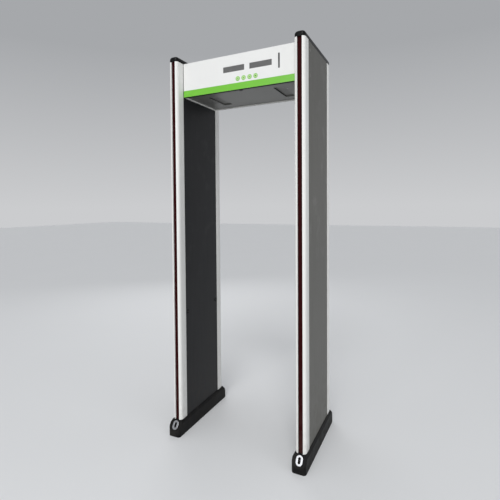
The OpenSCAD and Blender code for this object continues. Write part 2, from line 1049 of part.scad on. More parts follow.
// Tray of the fascia: a front plate with returns on all four sides
module fascia_tray() {
    tray_back = front_y + tray_d;
    span_box([-fascia_half, front_y, passage_h], [fascia_half, fascia_back, header_top]);
    span_box([-fascia_half, front_y, header_top - sheet_t], [fascia_half, hinge_y, header_top]);
    span_box([-fascia_half, front_y, passage_h], [fascia_half, tray_back, passage_h + sheet_t]);
    for (x = [-fascia_half, fascia_half - sheet_t]) {
        span_box([x, front_y, passage_h], [x + sheet_t, tray_back, header_top]);
    }
    for (side = [-1, 1]) {
        knuckle_x = side > 0 ? fascia_half - sheet_t - knuckle_l : -fascia_half;
        along_x(knuckle_x, hinge_y, hinge_z) {
            cylinder(h = knuckle_l + sheet_t, r = knuckle_r);
        }
        span_box(
            [knuckle_x, hinge_y - 4, hinge_z],
            [knuckle_x + knuckle_l + sheet_t, hinge_y, header_top - sheet_t + 0.5]
        );
    }
}

module fascia_door() {
    color("white") {
        difference() {
            fascia_tray();
            span_box(
                [-fascia_half - eps, front_y - eps, passage_h - eps],
                [fascia_half + eps, front_y + trim_t, passage_h + trim_h]
            );
            for (x = [window_left_x, window_right_x]) {
                translate([x - window_w / 2, front_y - eps, passage_h + window_z - window_h / 2]) {
                    cube([window_w, fascia_t + 2 * eps, window_h]);
                }
            }
            translate([signal_x - signal_w / 2, front_y - eps, passage_h + signal_z - signal_h / 2]) {
                cube([signal_w, fascia_t + 2 * eps, signal_h]);
            }
            for (i = [0 : 3]) {
                along_y(button_row_x + (i - 1.5) * button_pitch, front_y - eps, passage_h + button_z) {
                    cylinder(h = fascia_t + 2 * eps, r = button_hole_r);
                }
            }
            along_x(-fascia_half - eps, hinge_y, hinge_z) {
                cylinder(h = 2 * (fascia_half + eps), r = hinge_r + run_gap);
            }
        }
    }
}

module green_trim() {
    color("yellowgreen") {
        span_box([-fascia_half, front_y, passage_h], [fascia_half, front_y + trim_t, passage_h + trim_h - fit_gap]);
    }
}

// Window pane set into a cut-out of the fascia
module pane(x, z, width, height) {
    translate([x - width / 2 + fit_gap, window_face, z - height / 2 + fit_gap]) {
        cube([width - 2 * fit_gap, window_t, height - 2 * fit_gap]);
    }
}

module display_windows() {
    color("gray") {
        for (x = [window_left_x, window_right_x]) {
            pane(x, passage_h + window_z, window_w, window_h);
        }
    }
}

module signal_lens() {
    color("gray") {
        pane(signal_x, passage_h + signal_z, signal_w, signal_h);
    }
}

// Two digit displays and the signal bar's lamp block behind their windows
module display_modules() {
    color("black") {
        for (x = [window_left_x, window_right_x]) {
            translate([x - module_w / 2, fascia_back, passage_h + window_z - module_h / 2]) {
                cube([module_w, module_t, module_h]);
            }
        }
        translate([signal_x - signal_w / 2 - 4, fascia_back, passage_h + signal_z - signal_h / 2 - 5]) {
            cube([signal_w + 8, 6, signal_h + 10]);
        }
    }
}

// Circuit board behind the buttons, with its four switches and its posts
module control_board() {
    board_z = passage_h + button_z;
    color("darkgreen") {
        span_box(
            [button_row_x - control_w / 2, control_y, board_z - control_h / 2],
            [button_row_x + control_w / 2, control_y + pcb_t, board_z + control_h / 2]
        );
        for (i = [0 : 3]) {
            x = button_row_x + (i - 1.5) * button_pitch;
            span_box([x - switch_w / 2, switch_y, board_z - switch_w / 2], [x + switch_w / 2, control_y, board_z + switch_w / 2]);
        }
        for (x = [-1, 1], z = [-1, 1]) {
            along_y(button_row_x + x * (control_w / 2 - 6), fascia_back, board_z + z * (control_h / 2 - 5)) {
                cylinder(h = control_y - fascia_back, r = post_r);
            }
        }
    }
}

// Keeper on the fascia door: a tab with an upright peg that the hook swings in front of
module lock_keeper() {
    color("silver") {
        span_box(
            [lock_x - keeper_w / 2, fascia_back, keeper_z - 2 * keeper_t],
            [lock_x + keeper_w / 2, fascia_back + keeper_t, keeper_z + keeper_t]
        );
        span_box(
            [lock_x - keeper_w / 2, fascia_back, keeper_z],
            [lock_x + keeper_w / 2, peg_y + peg_r + 2, keeper_z + keeper_t]
        );
        translate([lock_x, peg_y, keeper_z + keeper_t]) {
            cylinder(h = 10, r = peg_r);
        }
    }
}

// Push button with a flange behind the fascia and a stem to its switch
module push_button(i) {
    color("yellowgreen") {
        translate([button_row_x + (i - 1.5) * button_pitch, 0, passage_h + button_z]) {
            along_y(0, button_face, 0) {
                cylinder(h = flange_y - button_face, r = button_r);
            }
            along_y(0, flange_y, 0) {
                cylinder(h = button_flange_t, r = button_flange_r);
            }
            along_y(0, flange_y + button_flange_t, 0) {
                cylinder(h = stem_l, r = stem_r);
            }
        }
    }
}

module button_1() { push_button(0); }
module button_2() { push_button(1); }
module button_3() { push_button(2); }
module button_4() { push_button(3); }

// ---- Assembly --------------------------------------------------------------------------------

left_front_profile();
left_rear_profile();
left_outer_board();
left_inner_board();
left_front_light();
left_rear_light();
left_led_boards();
left_coil_former();
left_coils();
left_beam_sensors();
left_top_cap();
left_foot();
left_anchor_rings();
left_header_bolts();
left_bolt_plugs();
left_connector();
right_front_profile();
right_rear_profile();
right_outer_board();
right_inner_board();
right_front_light();
right_rear_light();
right_led_boards();
right_coil_former();
right_coils();
right_beam_sensors();
right_top_cap();
right_foot();
right_anchor_rings();
right_header_bolts();
right_bolt_plugs();
right_connector();
top_cover();
rear_cover();
left_end_plate();
right_end_plate();
underside_plate();
left_hatch();
right_hatch();
hatch_screws();
hinge_pins();
lock_housing();
lock_barrel();
main_board();
power_supply();
sounder();
mains_inlet();
wiring_loom();
fascia_door();
green_trim();
display_windows();
display_modules();
signal_lens();
control_board();
lock_keeper();
button_1();
button_2();
button_3();
button_4();
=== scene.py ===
"""Finished look of a walk-through security gate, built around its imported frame."""

import json
import logging
import math
from collections.abc import Sequence
from dataclasses import dataclass, field
from enum import Enum

import bmesh
import bpy
from mathutils import Euler, Matrix, Vector

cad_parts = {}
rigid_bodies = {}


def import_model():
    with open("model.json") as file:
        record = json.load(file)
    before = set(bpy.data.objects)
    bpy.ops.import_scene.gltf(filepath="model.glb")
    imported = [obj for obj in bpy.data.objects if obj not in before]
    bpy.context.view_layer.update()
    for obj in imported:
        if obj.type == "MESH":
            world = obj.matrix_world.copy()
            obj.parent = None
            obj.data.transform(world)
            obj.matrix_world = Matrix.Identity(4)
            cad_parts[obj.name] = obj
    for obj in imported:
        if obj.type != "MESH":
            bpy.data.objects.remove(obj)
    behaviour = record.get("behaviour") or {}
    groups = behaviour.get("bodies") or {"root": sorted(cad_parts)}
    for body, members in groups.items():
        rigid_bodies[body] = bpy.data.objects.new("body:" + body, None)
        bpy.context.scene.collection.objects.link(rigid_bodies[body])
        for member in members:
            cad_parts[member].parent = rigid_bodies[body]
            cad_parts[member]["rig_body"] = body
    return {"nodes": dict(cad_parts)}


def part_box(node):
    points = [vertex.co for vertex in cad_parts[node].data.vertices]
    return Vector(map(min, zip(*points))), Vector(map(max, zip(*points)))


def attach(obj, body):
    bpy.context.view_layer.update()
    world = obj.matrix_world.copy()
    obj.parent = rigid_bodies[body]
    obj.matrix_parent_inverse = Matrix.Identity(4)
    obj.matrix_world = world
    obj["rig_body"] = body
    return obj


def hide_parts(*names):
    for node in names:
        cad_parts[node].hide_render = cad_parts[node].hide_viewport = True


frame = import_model()

MM = 0.001
LOG = logging.getLogger("gate")

Triple = tuple[float, float, float]
Colour = Triple
Pair = tuple[float, float]
Ring = list[Vector]


# ---- Colours -------------------------------------------------------------------------------------


def paint(red: int, green: int, blue: int) -> Colour:
    """Turns a paint chip's display values into the linear values that shaders use.

    Args:
        red: Red from 0 to 255.
        green: Green from 0 to 255.
        blue: Blue from 0 to 255.

    Returns:
        The linear colour.
    """
    def channel(value: int) -> float:
        """Linear value of one channel."""
        share = value / 255
        return share / 12.92 if share <= 0.04045 else ((share + 0.055) / 1.055) ** 2.4

    return channel(red), channel(green), channel(blue)


DUST = paint(158, 152, 142)
SCUFF = paint(116, 114, 112)
SOLDER = paint(178, 176, 166)
DEEP_BLACK = paint(10, 10, 11)
PLAIN_GREY = paint(100, 100, 96)


# ---- Shader bench --------------------------------------------------------------------------------


class Signal:
    """A shader value that takes part in arithmetic and adds its own Math nodes."""

    def __init__(self, bench: "Bench", socket: bpy.types.NodeSocket) -> None:
        """Wraps one output socket.

        Args:
            bench: The bench that owns the node tree.
            socket: The output socket.
        """
        self.bench = bench
        self.socket = socket

    def _pair(self, operation: str, first: "Signal | float", second: "Signal | float") -> "Signal":
        """Adds one Math node.

        Args:
            operation: The Math node's operation.
            first: Its first value.
            second: Its second value.

        Returns:
            The node's result.
        """
        return self.bench.signal("ShaderNodeMath", {"operation": operation}, {0: first, 1: second})

    def __add__(self, other: "Signal | float") -> "Signal":
        """Sum."""
        return self._pair("ADD", self, other)

    def __radd__(self, other: float) -> "Signal":
        """Sum with a number first."""
        return self._pair("ADD", other, self)

    def __sub__(self, other: "Signal | float") -> "Signal":
        """Difference."""
        return self._pair("SUBTRACT", self, other)

    def __rsub__(self, other: float) -> "Signal":
        """Difference with a number first."""
        return self._pair("SUBTRACT", other, self)

    def __mul__(self, other: "Signal | float") -> "Signal":
        """Product."""
        return self._pair("MULTIPLY", self, other)

    def __rmul__(self, other: float) -> "Signal":
        """Product with a number first."""
        return self._pair("MULTIPLY", other, self)

    def wave(self, pitch: float) -> "Signal":
        """Sine of a length, with one full turn to each pitch in metres."""
        return self.bench.signal("ShaderNodeMath", {"operation": "SINE"}, {0: self * (2 * math.pi / pitch)})


class Bench:
    """Node tree of one material, with the few moves that every finish is made of."""

    def __init__(self, name: str, tree: bpy.types.NodeTree | None = None) -> None:
        """Opens an empty material, or clears a tree that is there.

        Args:
            name: The material's name.
            tree: A tree to use in place of a new material's.
        """
        self.material = None if tree else bpy.data.materials.new(name)
        if self.material:
            self.material.use_nodes = True
        self.tree = tree or self.material.node_tree
        self.tree.nodes.clear()

    def node(self, kind: str, settings: dict, inputs: dict) -> bpy.types.Node:
        """Adds any node.

        Args:
            kind: The node's type name.
            settings: Its settings, which are set before its sockets.
            inputs: Values, signals or sockets by input name or number.

        Returns:
            The new node.
        """
        made = self.tree.nodes.new(kind)
        for key, value in settings.items():
            setattr(made, key, value)
        for key, value in inputs.items():
            self.feed(made.inputs[key], value)
        return made

    def feed(self, socket: bpy.types.NodeSocket, value: object) -> None:
        """Links or sets one input socket.

        Args:
            socket: The input socket.
            value: A signal, a socket, a colour or a number.
        """
        if isinstance(value, Signal):
            self.tree.links.new(value.socket, socket)
        elif isinstance(value, bpy.types.NodeSocket):
            self.tree.links.new(value, socket)
        elif isinstance(value, tuple) and socket.type == "RGBA":
            socket.default_value = (*value, 1.0)
        else:
            socket.default_value = value

    def signal(self, kind: str, settings: dict, inputs: dict, output: int | str = 0) -> Signal:
        """Adds any node and takes one of its outputs.

        Args:
            kind: The node's type name.
            settings: Its settings.
            inputs: Its inputs.
            output: The output's number or name.

        Returns:
            That output.
        """
        return Signal(self, self.node(kind, settings, inputs).outputs[output])

    def place(self) -> Signal:
        """Position on the piece, in metres."""
        return self.signal("ShaderNodeTexCoord", {}, {}, "Object")

    def axis(self, letter: str) -> Signal:
        """One coordinate of the position, by its letter."""
        return self.signal("ShaderNodeSeparateXYZ", {}, {0: self.place()}, letter)

    def stretched(self, stretch: Triple) -> Signal:
        """Position scaled on each axis."""
        return self.signal("ShaderNodeVectorMath", {"operation": "MULTIPLY"}, {0: self.place(), 1: stretch})

    def noise(self, size: float, detail: float, stretch: Triple = (1, 1, 1)) -> Signal:
        """Cloudy noise.

        Args:
            size: Size of its features in metres.
            detail: How many finer layers it has.
            stretch: Scale on each axis; below one draws it out.

        Returns:
            Values around a half.
        """
        return self.signal(
            "ShaderNodeTexNoise", {},
            {"Vector": self.stretched(stretch), "Scale": 1 / size, "Detail": detail})

    def cells(
        self, size: float, feature: str = "F1", stretch: Triple = (1, 1, 1), output: str = "Distance"
    ) -> Signal:
        """Cell pattern.

        Args:
            size: Size of a cell in metres.
            feature: Which distance of the cells is given.
            stretch: Scale on each axis.
            output: Distance, or Color for one random colour a cell.

        Returns:
            The chosen output.
        """
        return self.signal(
            "ShaderNodeTexVoronoi", {"feature": feature},
            {"Vector": self.stretched(stretch), "Scale": 1 / size}, output)

    def span(self, value: Signal, low: float, high: float) -> Signal:
        """Maps a range of a signal to 0 to 1, and holds it there.

        Args:
            value: The signal.
            low: Where the result is 0; it may be the larger one.
            high: Where the result is 1.

        Returns:
            The mapped signal.
        """
        return self.signal("ShaderNodeMapRange", {"clamp": True}, {0: value, 1: low, 2: high})

    def layered(self, base: Colour, *layers: tuple[Signal, Colour]) -> Signal:
        """Colours laid over each other.

        Args:
            base: The lowest colour.
            layers: The mask and the colour of each one above it.

        Returns:
            The mixed colour.
        """
        mixed = base
        for mask, colour in layers:
            mixed = self.signal("ShaderNodeMix", {"data_type": "RGBA"}, {0: mask, 6: mixed, 7: colour}, 2)
        return mixed

    def relief(self, height: Signal, depth: float, strength: float) -> Signal:
        """Normal of a surface with fine relief.

        Args:
            height: Height from 0 to 1.
            depth: Depth of the relief in metres.
            strength: How much of it shows.

        Returns:
            The normal.
        """
        return self.signal("ShaderNodeBump", {}, {"Height": height, "Distance": depth, "Strength": strength})

    def surface(self, inputs: dict) -> bpy.types.Material:
        """Closes the material with a Principled surface.

        Args:
            inputs: Its inputs by name.

        Returns:
            The finished material.
        """
        shader = self.node("ShaderNodeBsdfPrincipled", {}, inputs)
        self.node("ShaderNodeOutputMaterial", {}, {"Surface": shader.outputs[0]})
        return self.material

    def settled_dust(self, top: float) -> Signal:
        """Dust that thickens towards the floor.

        Args:
            top: Height in metres where it fades out.

        Returns:
            Its mask.
        """
        return self.span(self.noise(0.05, 6.0), 0.40, 0.72) * self.span(self.axis("Z"), top, 0.0)


# ---- Finishes ------------------------------------------------------------------------------------


@dataclass(frozen=True)
class Finish:
    """What all finishes share: a name and a main shade."""

    name: str
    shade: Colour

    def tone(self, factor: float) -> Colour:
        """The main shade made darker or lighter by a factor."""
        return tuple(min(1.0, part * factor) for part in self.shade)

    def make(self) -> bpy.types.Material:
        """The finish's material, which each kind of finish makes in its own way."""
        raise NotImplementedError


@dataclass(frozen=True)
class PowderCoat(Finish):
    """Powder-coated sheet or extrusion with orange peel, faint clouding, scuffs and low dust."""

    roughness: float = 0.40
    peel: float = 1.6 * MM
    dust_top: float = 0.5

    def make(self) -> bpy.types.Material:
        """Makes the coat.

        Returns:
            Its material.
        """
        bench = Bench(self.name)
        cloud = bench.noise(0.35, 2.0)
        scuffs = bench.span(bench.noise(0.03, 8.0, (1.0, 1.0, 0.15)), 0.69, 0.76)
        grime = bench.settled_dust(self.dust_top)
        peel = bench.noise(self.peel, 2.0) + bench.noise(self.peel * 5, 1.0) * 0.6
        return bench.surface({
            "Base Color": bench.layered(
                self.shade,
                (cloud * 0.6, self.tone(0.95)),
                (grime * 0.30, DUST),
                (scuffs * 0.18, SCUFF)),
            "Roughness": self.roughness + (cloud - 0.5) * 0.12 + grime * 0.25,
            "Coat Weight": 0.15,
            "Coat Roughness": 0.22,
            "Normal": bench.relief(peel, 0.05 * MM, 0.6),
        })


@dataclass(frozen=True)
class Laminate(Finish):
    """Grey laminated board: fine speckle, faint upright grain, hand marks and low dust."""

    roughness: float = 0.48
    speckle: float = 1.3 * MM
    dust_top: float = 0.55
    hand_heights: Pair = (0.6, 1.2)
    gloss: float = 0.42

    def make(self) -> bpy.types.Material:
        """Makes the board.

        Returns:
            Its material.
        """
        bench = Bench(self.name)
        speckle = bench.span(bench.noise(self.speckle, 3.0), 0.38, 0.66)
        grain = bench.noise(0.009, 4.0, (1.0, 1.0, 0.03))
        cloud = bench.noise(0.28, 3.0)
        reach = bench.span(bench.axis("Z"), *self.hand_heights)
        hands = bench.span(bench.noise(0.09, 5.0), 0.56, 0.74) * reach
        grime = bench.settled_dust(self.dust_top)
        return bench.surface({
            "Base Color": bench.layered(
                self.tone(0.86),
                (speckle, self.tone(1.14)),
                (bench.span(grain, 0.35, 0.68) * 0.5, self.tone(0.90)),
                (cloud * 0.4, self.tone(1.10)),
                (grime * 0.08, DUST)),
            "Roughness": self.roughness + (grain - 0.5) * 0.14 - hands * 0.10 + grime * 0.2,
            "Specular IOR Level": self.gloss,
            "Normal": bench.relief(speckle + grain, 0.06 * MM, 0.55),
        })


@dataclass(frozen=True)
class Diffuser(Finish):
    """Dark red light strip: a satin translucent extrusion over evenly spaced lamps."""

    roughness: float = 0.46
    lamp_pitch: float = 33 * MM
    dust_top: float = 0.4
    gloss: float = 0.07

    def make(self) -> bpy.types.Material:
        """Makes the strip.

        Returns:
            Its material.
        """
        bench = Bench(self.name)
        lamps = bench.span(bench.axis("Z").wave(self.lamp_pitch), 0.2, 1.0)
        cloud = bench.noise(0.12, 3.0)
        grime = bench.settled_dust(self.dust_top)
        return bench.surface({
            "Base Color": bench.layered(
                self.shade,
                (lamps * 0.35, self.tone(1.5)),
                (cloud * 0.4, self.tone(0.75)),
                (grime * 0.1, DUST)),
            "Roughness": self.roughness + cloud * 0.12 + grime * 0.3,
            "Specular IOR Level": self.gloss,
            "Normal": bench.relief(bench.noise(0.9 * MM, 2.0, (1.0, 1.0, 0.2)), 0.04 * MM, 0.5),
        })


@dataclass(frozen=True)
class Moulding(Finish):
    """Moulded plastic with a fine spark-eroded grain, flow marks, rubbed patches and low dust."""

    roughness: float = 0.45
    grain: float = 0.55 * MM
    wear: float = 0.5
    gloss: float = 0.5
    dust_top: float = 0.16

    def make(self) -> bpy.types.Material:
        """Makes the plastic.

        Returns:
            Its material.
        """
        bench = Bench(self.name)
        flow = bench.noise(0.07, 4.0)
        scratches = bench.span(bench.noise(0.012, 9.0, (0.25, 1.0, 1.0)), 0.68, 0.74)
        grime = bench.settled_dust(self.dust_top)
        rubbed = tuple(part * 1.25 + 0.012 * self.wear for part in self.shade)
        return bench.surface({
            "Base Color": bench.layered(
                self.shade,
                (bench.span(flow, 0.52, 0.72) * self.wear, rubbed),
                (scratches * 0.22 * self.wear, SCUFF),
                (grime * 0.07, DUST)),
            "Roughness": self.roughness + (flow - 0.5) * 0.16 + grime * 0.25,
            "Specular IOR Level": self.gloss,
            "Normal": bench.relief(bench.noise(self.grain, 2.0), 0.07 * MM, 0.6),
        })


@dataclass(frozen=True)
class PlatedMetal(Finish):
    """Plated or polished metal with fine drawn lines, smudges and small pits."""

    roughness: float = 0.20
    drawn: Triple = (1.0, 1.0, 0.06)

    def make(self) -> bpy.types.Material:
        """Makes the metal.

        Returns:
            Its material.
        """
        bench = Bench(self.name)
        lines = bench.noise(0.8 * MM, 5.0, self.drawn)
        smudge = bench.noise(0.018, 4.0)
        pits = bench.span(bench.noise(2.2 * MM, 6.0), 0.67, 0.75)
        return bench.surface({
            "Base Color": bench.layered(
                self.shade,
                (bench.span(smudge, 0.40, 0.70) * 0.6, self.tone(0.82)),
                (pits * 0.5, self.tone(0.45))),
            "Metallic": 1.0 - pits * 0.3,
            "Roughness": self.roughness + (lines - 0.5) * 0.16 + smudge * 0.10 + pits * 0.3,
            "Normal": bench.relief(lines, 0.03 * MM, 0.5),
        })


@dataclass(frozen=True)
class PrintedFilm(Finish):
    """Coloured self-adhesive film: clear lacquer over even ink, with a fine orange peel."""

    roughness: float = 0.32

    def make(self) -> bpy.types.Material:
        """Makes the film.

        Returns:
            Its material.
        """
        bench = Bench(self.name)
        ink = bench.noise(1.1 * MM, 2.0)
        cloud = bench.noise(0.16, 3.0)
        lift = bench.span(bench.noise(0.045, 4.0, (0.4, 1.0, 1.0)), 0.60, 0.78)
        return bench.surface({
            "Base Color": bench.layered(
                self.shade,
                (bench.span(ink, 0.35, 0.65) * 0.35, self.tone(0.90)),
                (cloud * 0.35, self.tone(1.12))),
            "Roughness": self.roughness + cloud * 0.10 + lift * 0.08,
            "Coat Weight": 0.40,
            "Coat Roughness": 0.15,
            "Normal": bench.relief(bench.noise(2.5 * MM, 2.0) + ink * 0.3, 0.05 * MM, 0.5),
        })


@dataclass(frozen=True)
class SmokedPane(Finish):
    """Smoked acrylic pane over a dark display: a faint dot grid below, wipe marks above."""

    dot: float = 2.4 * MM
    roughness: float = 0.18

    def make(self) -> bpy.types.Material:
        """Makes the pane.

        Returns:
            Its material.
        """
        bench = Bench(self.name)
        dots = bench.span(bench.cells(self.dot), 0.20, 0.42)
        wipes = bench.noise(0.03, 6.0, (0.3, 1.0, 1.0))
        return bench.surface({
            "Base Color": bench.layered(
                self.tone(1.10),
                (dots * 0.35, self.tone(0.82)),
                (bench.span(wipes, 0.5, 0.8) * 0.4, self.tone(1.3))),
            "Roughness": self.roughness + bench.span(wipes, 0.40, 0.75) * 0.16,
            "Coat Weight": 0.55,
            "Coat Roughness": 0.06,
            "Normal": bench.relief(wipes, 0.03 * MM, 0.3),
        })


@dataclass(frozen=True)
class SolderMask(Finish):
    """Circuit board: green solder mask over straight copper tracks, with tinned dots."""

    patch: float = 7 * MM
    track: float = 2.2 * MM
    dot: float = 5.1 * MM

    def make(self) -> bpy.types.Material:
        """Makes the board.

        Returns:
            Its material.
        """
        bench = Bench(self.name)
        patches = bench.signal(
            "ShaderNodeSeparateColor", {}, {0: bench.cells(self.patch, "F1", (1.0, 0.25, 1.0), "Color")})
        tracks = bench.span(bench.cells(self.track, "DISTANCE_TO_EDGE", (1.0, 0.12, 1.0)), 0.10, 0.04)
        dots = bench.span(bench.cells(self.dot), 0.16, 0.11)
        return bench.surface({
            "Base Color": bench.layered(
                self.shade,
                (patches * 0.3, self.tone(0.75)),
                (tracks * 0.55, self.tone(1.7)),
                (dots * 0.9, SOLDER)),
            "Metallic": dots * 0.8,
            "Roughness": 0.36 - dots * 0.08 + tracks * 0.05,
            "Coat Weight": 0.2,
            "Coat Roughness": 0.2,
            "Normal": bench.relief(tracks + dots, 0.05 * MM, 0.7),
        })


@dataclass(frozen=True)
class Plywood(Finish):
    """Plain plywood: long soft grain, darker pores and paler patches."""

    roughness: float = 0.66

    def make(self) -> bpy.types.Material:
        """Makes the wood.

        Returns:
            Its material.
        """
        bench = Bench(self.name)
        grain = bench.noise(0.02, 5.0, (1.0, 1.0, 0.06))
        pores = bench.span(bench.noise(1.6 * MM, 4.0, (1.0, 1.0, 0.08)), 0.58, 0.72)
        return bench.surface({
            "Base Color": bench.layered(
                self.tone(0.8),
                (bench.span(grain, 0.3, 0.7), self.tone(1.12)),
                (pores * 0.5, self.tone(0.5))),
            "Roughness": self.roughness + pores * 0.15,
            "Normal": bench.relief(grain - pores, 0.15 * MM, 0.6),
        })


@dataclass(frozen=True)
class EnamelWire(Finish):
    """Wound enamelled wire: turn beside turn, with painted shade in the grooves between them."""

    turn: float = 1.6 * MM
    roughness: float = 0.30

    def make(self) -> bpy.types.Material:
        """Makes the winding.

        Returns:
            Its material.
        """
        bench = Bench(self.name)
        across = bench.axis("Y") + bench.axis("X") + bench.axis("Z") * 0.02
        turns = bench.span(across.wave(self.turn), -1.0, 1.0)
        patch = bench.noise(0.03, 4.0)
        return bench.surface({
            # Painted shade: the copper darkens to under half its shade between the turns.
            "Base Color": bench.layered(self.tone(0.45), (turns, self.shade), (patch * 0.4, self.tone(0.8))),
            "Metallic": 0.75 + patch * 0.2,
            "Roughness": self.roughness + patch * 0.15,
            "Normal": bench.relief(turns, 0.3 * MM, 0.7),
        })


@dataclass(frozen=True)
class FloorPaint(Finish):
    """Pale studio floor with a faint trowelled surface."""

    roughness: float = 0.62

    def make(self) -> bpy.types.Material:
        """Makes the floor.

        Returns:
            Its material.
        """
        bench = Bench(self.name)
        cloud = bench.noise(0.8, 3.0)
        return bench.surface({
            "Base Color": bench.layered(self.shade, (cloud * 0.5, self.tone(0.97))),
            "Roughness": self.roughness + cloud * 0.1,
            "Normal": bench.relief(bench.noise(0.004, 3.0), 0.1 * MM, 0.3),
        })


@dataclass(frozen=True)
class Look:
    """A finish and the record's material slot that it stands for."""

    finish: Finish
    slot: str

    def material(self) -> bpy.types.Material:
        """The finish's material, made once."""
        return bpy.data.materials.get(self.finish.name) or self.finish.make()


class Looks(Enum):
    """Every finish on the gate."""

    WHITE_PROFILE = Look(PowderCoat("white_powder_coat", paint(236, 236, 233)), "white_profile")
    OUTER_BOARD = Look(Laminate("grey_board_laminate", paint(93, 92, 87)), "grey_board")
    # Painted shade: the inner boards use the outer boards' laminate in a far darker shade, standing for the
    # shadow in the passage between the columns.
    INNER_BOARD = Look(Laminate("grey_board_laminate_inside", paint(19, 20, 23), gloss=0.28), "grey_board")
    RED_STRIP = Look(Diffuser("dark_red_diffuser", paint(45, 2, 4)), "red_strip")
    BOARD = Look(SolderMask("solder_mask_green", paint(26, 84, 48)), "circuit_board")
    FORMER = Look(Plywood("former_plywood", paint(196, 164, 120)), "former_ply")
    WINDING = Look(EnamelWire("coil_enamel_wire", paint(186, 108, 62)), "coil_winding")
    BLACK_PLASTIC = Look(Moulding("black_moulding", paint(26, 26, 27), 0.48), "black_plastic")
    BLACK_CAP = Look(Moulding("black_cap_moulding", DEEP_BLACK, 0.36, 0.7 * MM, 0.2, 0.2), "black_cap")
    BLACK_FOOT = Look(Moulding("black_foot_moulding", DEEP_BLACK, 0.52, 0.8 * MM, 0.2, 0.14), "black_foot")
    BRIGHT_RING = Look(PlatedMetal("bright_plating", paint(188, 189, 192), 0.26), "bright_ring")
    ZINC = Look(PlatedMetal("zinc_plating", paint(196, 197, 194), 0.32), "zinc_steel")
    PLUG = Look(Moulding("plug_moulding", paint(112, 111, 106), 0.38, 0.5 * MM, 0.2), "plug_plastic")
    HEADER_SHEET = Look(PowderCoat("header_powder_coat", paint(232, 232, 229), 0.42), "header_sheet")
    UNDERSIDE = Look(PowderCoat("underside_powder_coat", PLAIN_GREY, 0.46), "underside_sheet")
    HATCH = Look(Moulding("hatch_moulding", PLAIN_GREY, 0.5, 0.7 * MM, 0.15), "hatch_plastic")
    LOCK = Look(PlatedMetal("lock_nickel", paint(104, 103, 100), 0.34), "lock_metal")
    SUPPLY = Look(PlatedMetal("supply_aluminium", paint(188, 190, 192), 0.36), "supply_case")
    WHITE_FASCIA = Look(PowderCoat("fascia_powder_coat", paint(231, 231, 229), 0.38), "white_fascia")
    GREEN = Look(PrintedFilm("green_film", paint(112, 190, 50)), "green_trim")
    SMOKED = Look(SmokedPane("smoked_acrylic", paint(98, 98, 97)), "smoked_window")
    SIGNAL = Look(SmokedPane("signal_acrylic", paint(44, 44, 45)), "smoked_window")
    BUTTON = Look(
        Moulding("button_green_moulding", paint(126, 194, 78), 0.38, 0.5 * MM, 0.1), "button_plastic")
    BUTTON_DISH = Look(
        Moulding("button_pale_moulding", paint(180, 220, 146), 0.42, 0.5 * MM, 0.1), "button_plastic")
    BUTTON_MARK = Look(
        Moulding("button_mark_ink", paint(70, 118, 46), 0.45, 0.5 * MM, 0.1), "button_plastic")
    # Painted shadow: a black strip under the fascia door's return stands for the shade in the gap there.
    SEAL = Look(Moulding("black_rubber_seal", paint(16, 16, 16), 0.7, 0.9 * MM, 0.1, 0.2), "black_plastic")
    BEZEL = Look(Moulding("bezel_moulding", paint(5, 5, 6), 0.55, 0.6 * MM, 0.1, 0.1), "black_plastic")
    SENSOR_LENS = Look(SmokedPane("sensor_lens_acrylic", paint(20, 7, 9), 1.2 * MM), "black_plastic")
    NYLON = Look(Moulding("connector_nylon", paint(222, 219, 206), 0.45, 0.5 * MM, 0.1), "plug_plastic")
    SLEEVE = Look(Moulding("wire_sleeve", paint(36, 36, 38), 0.40, 0.6 * MM, 0.2), "black_plastic")


# ---- Mesh bench ----------------------------------------------------------------------------------


NEAR_AXIS = 0.1 * MM
WELD_WITHIN = 0.002 * MM
SLIVER = 0.001 * MM
FLAT_WITHIN = math.radians(0.4)
SMOOTH_BELOW = math.radians(38)


class Direction(Enum):
    """Axis along which a piece is drawn out."""

    X = 0
    Y = 1
    Z = 2

    def matrix(self) -> Matrix:
        """Finds the turn that takes +Z to this axis.

        Returns:
            The turn.
        """
        if self is Direction.X:
            return Matrix(((0, 0, 1), (1, 0, 0), (0, 1, 0))).to_4x4()
        if self is Direction.Y:
            return Matrix(((0, 1, 0), (0, 0, 1), (1, 0, 0))).to_4x4()
        return Matrix.Identity(4)


@dataclass(frozen=True)
class Softening:
    """How a piece's sharp edges are rounded: width, steps, and the angle in degrees from which they are."""

    width: float
    steps: int = 2
    angle: float = 32.0


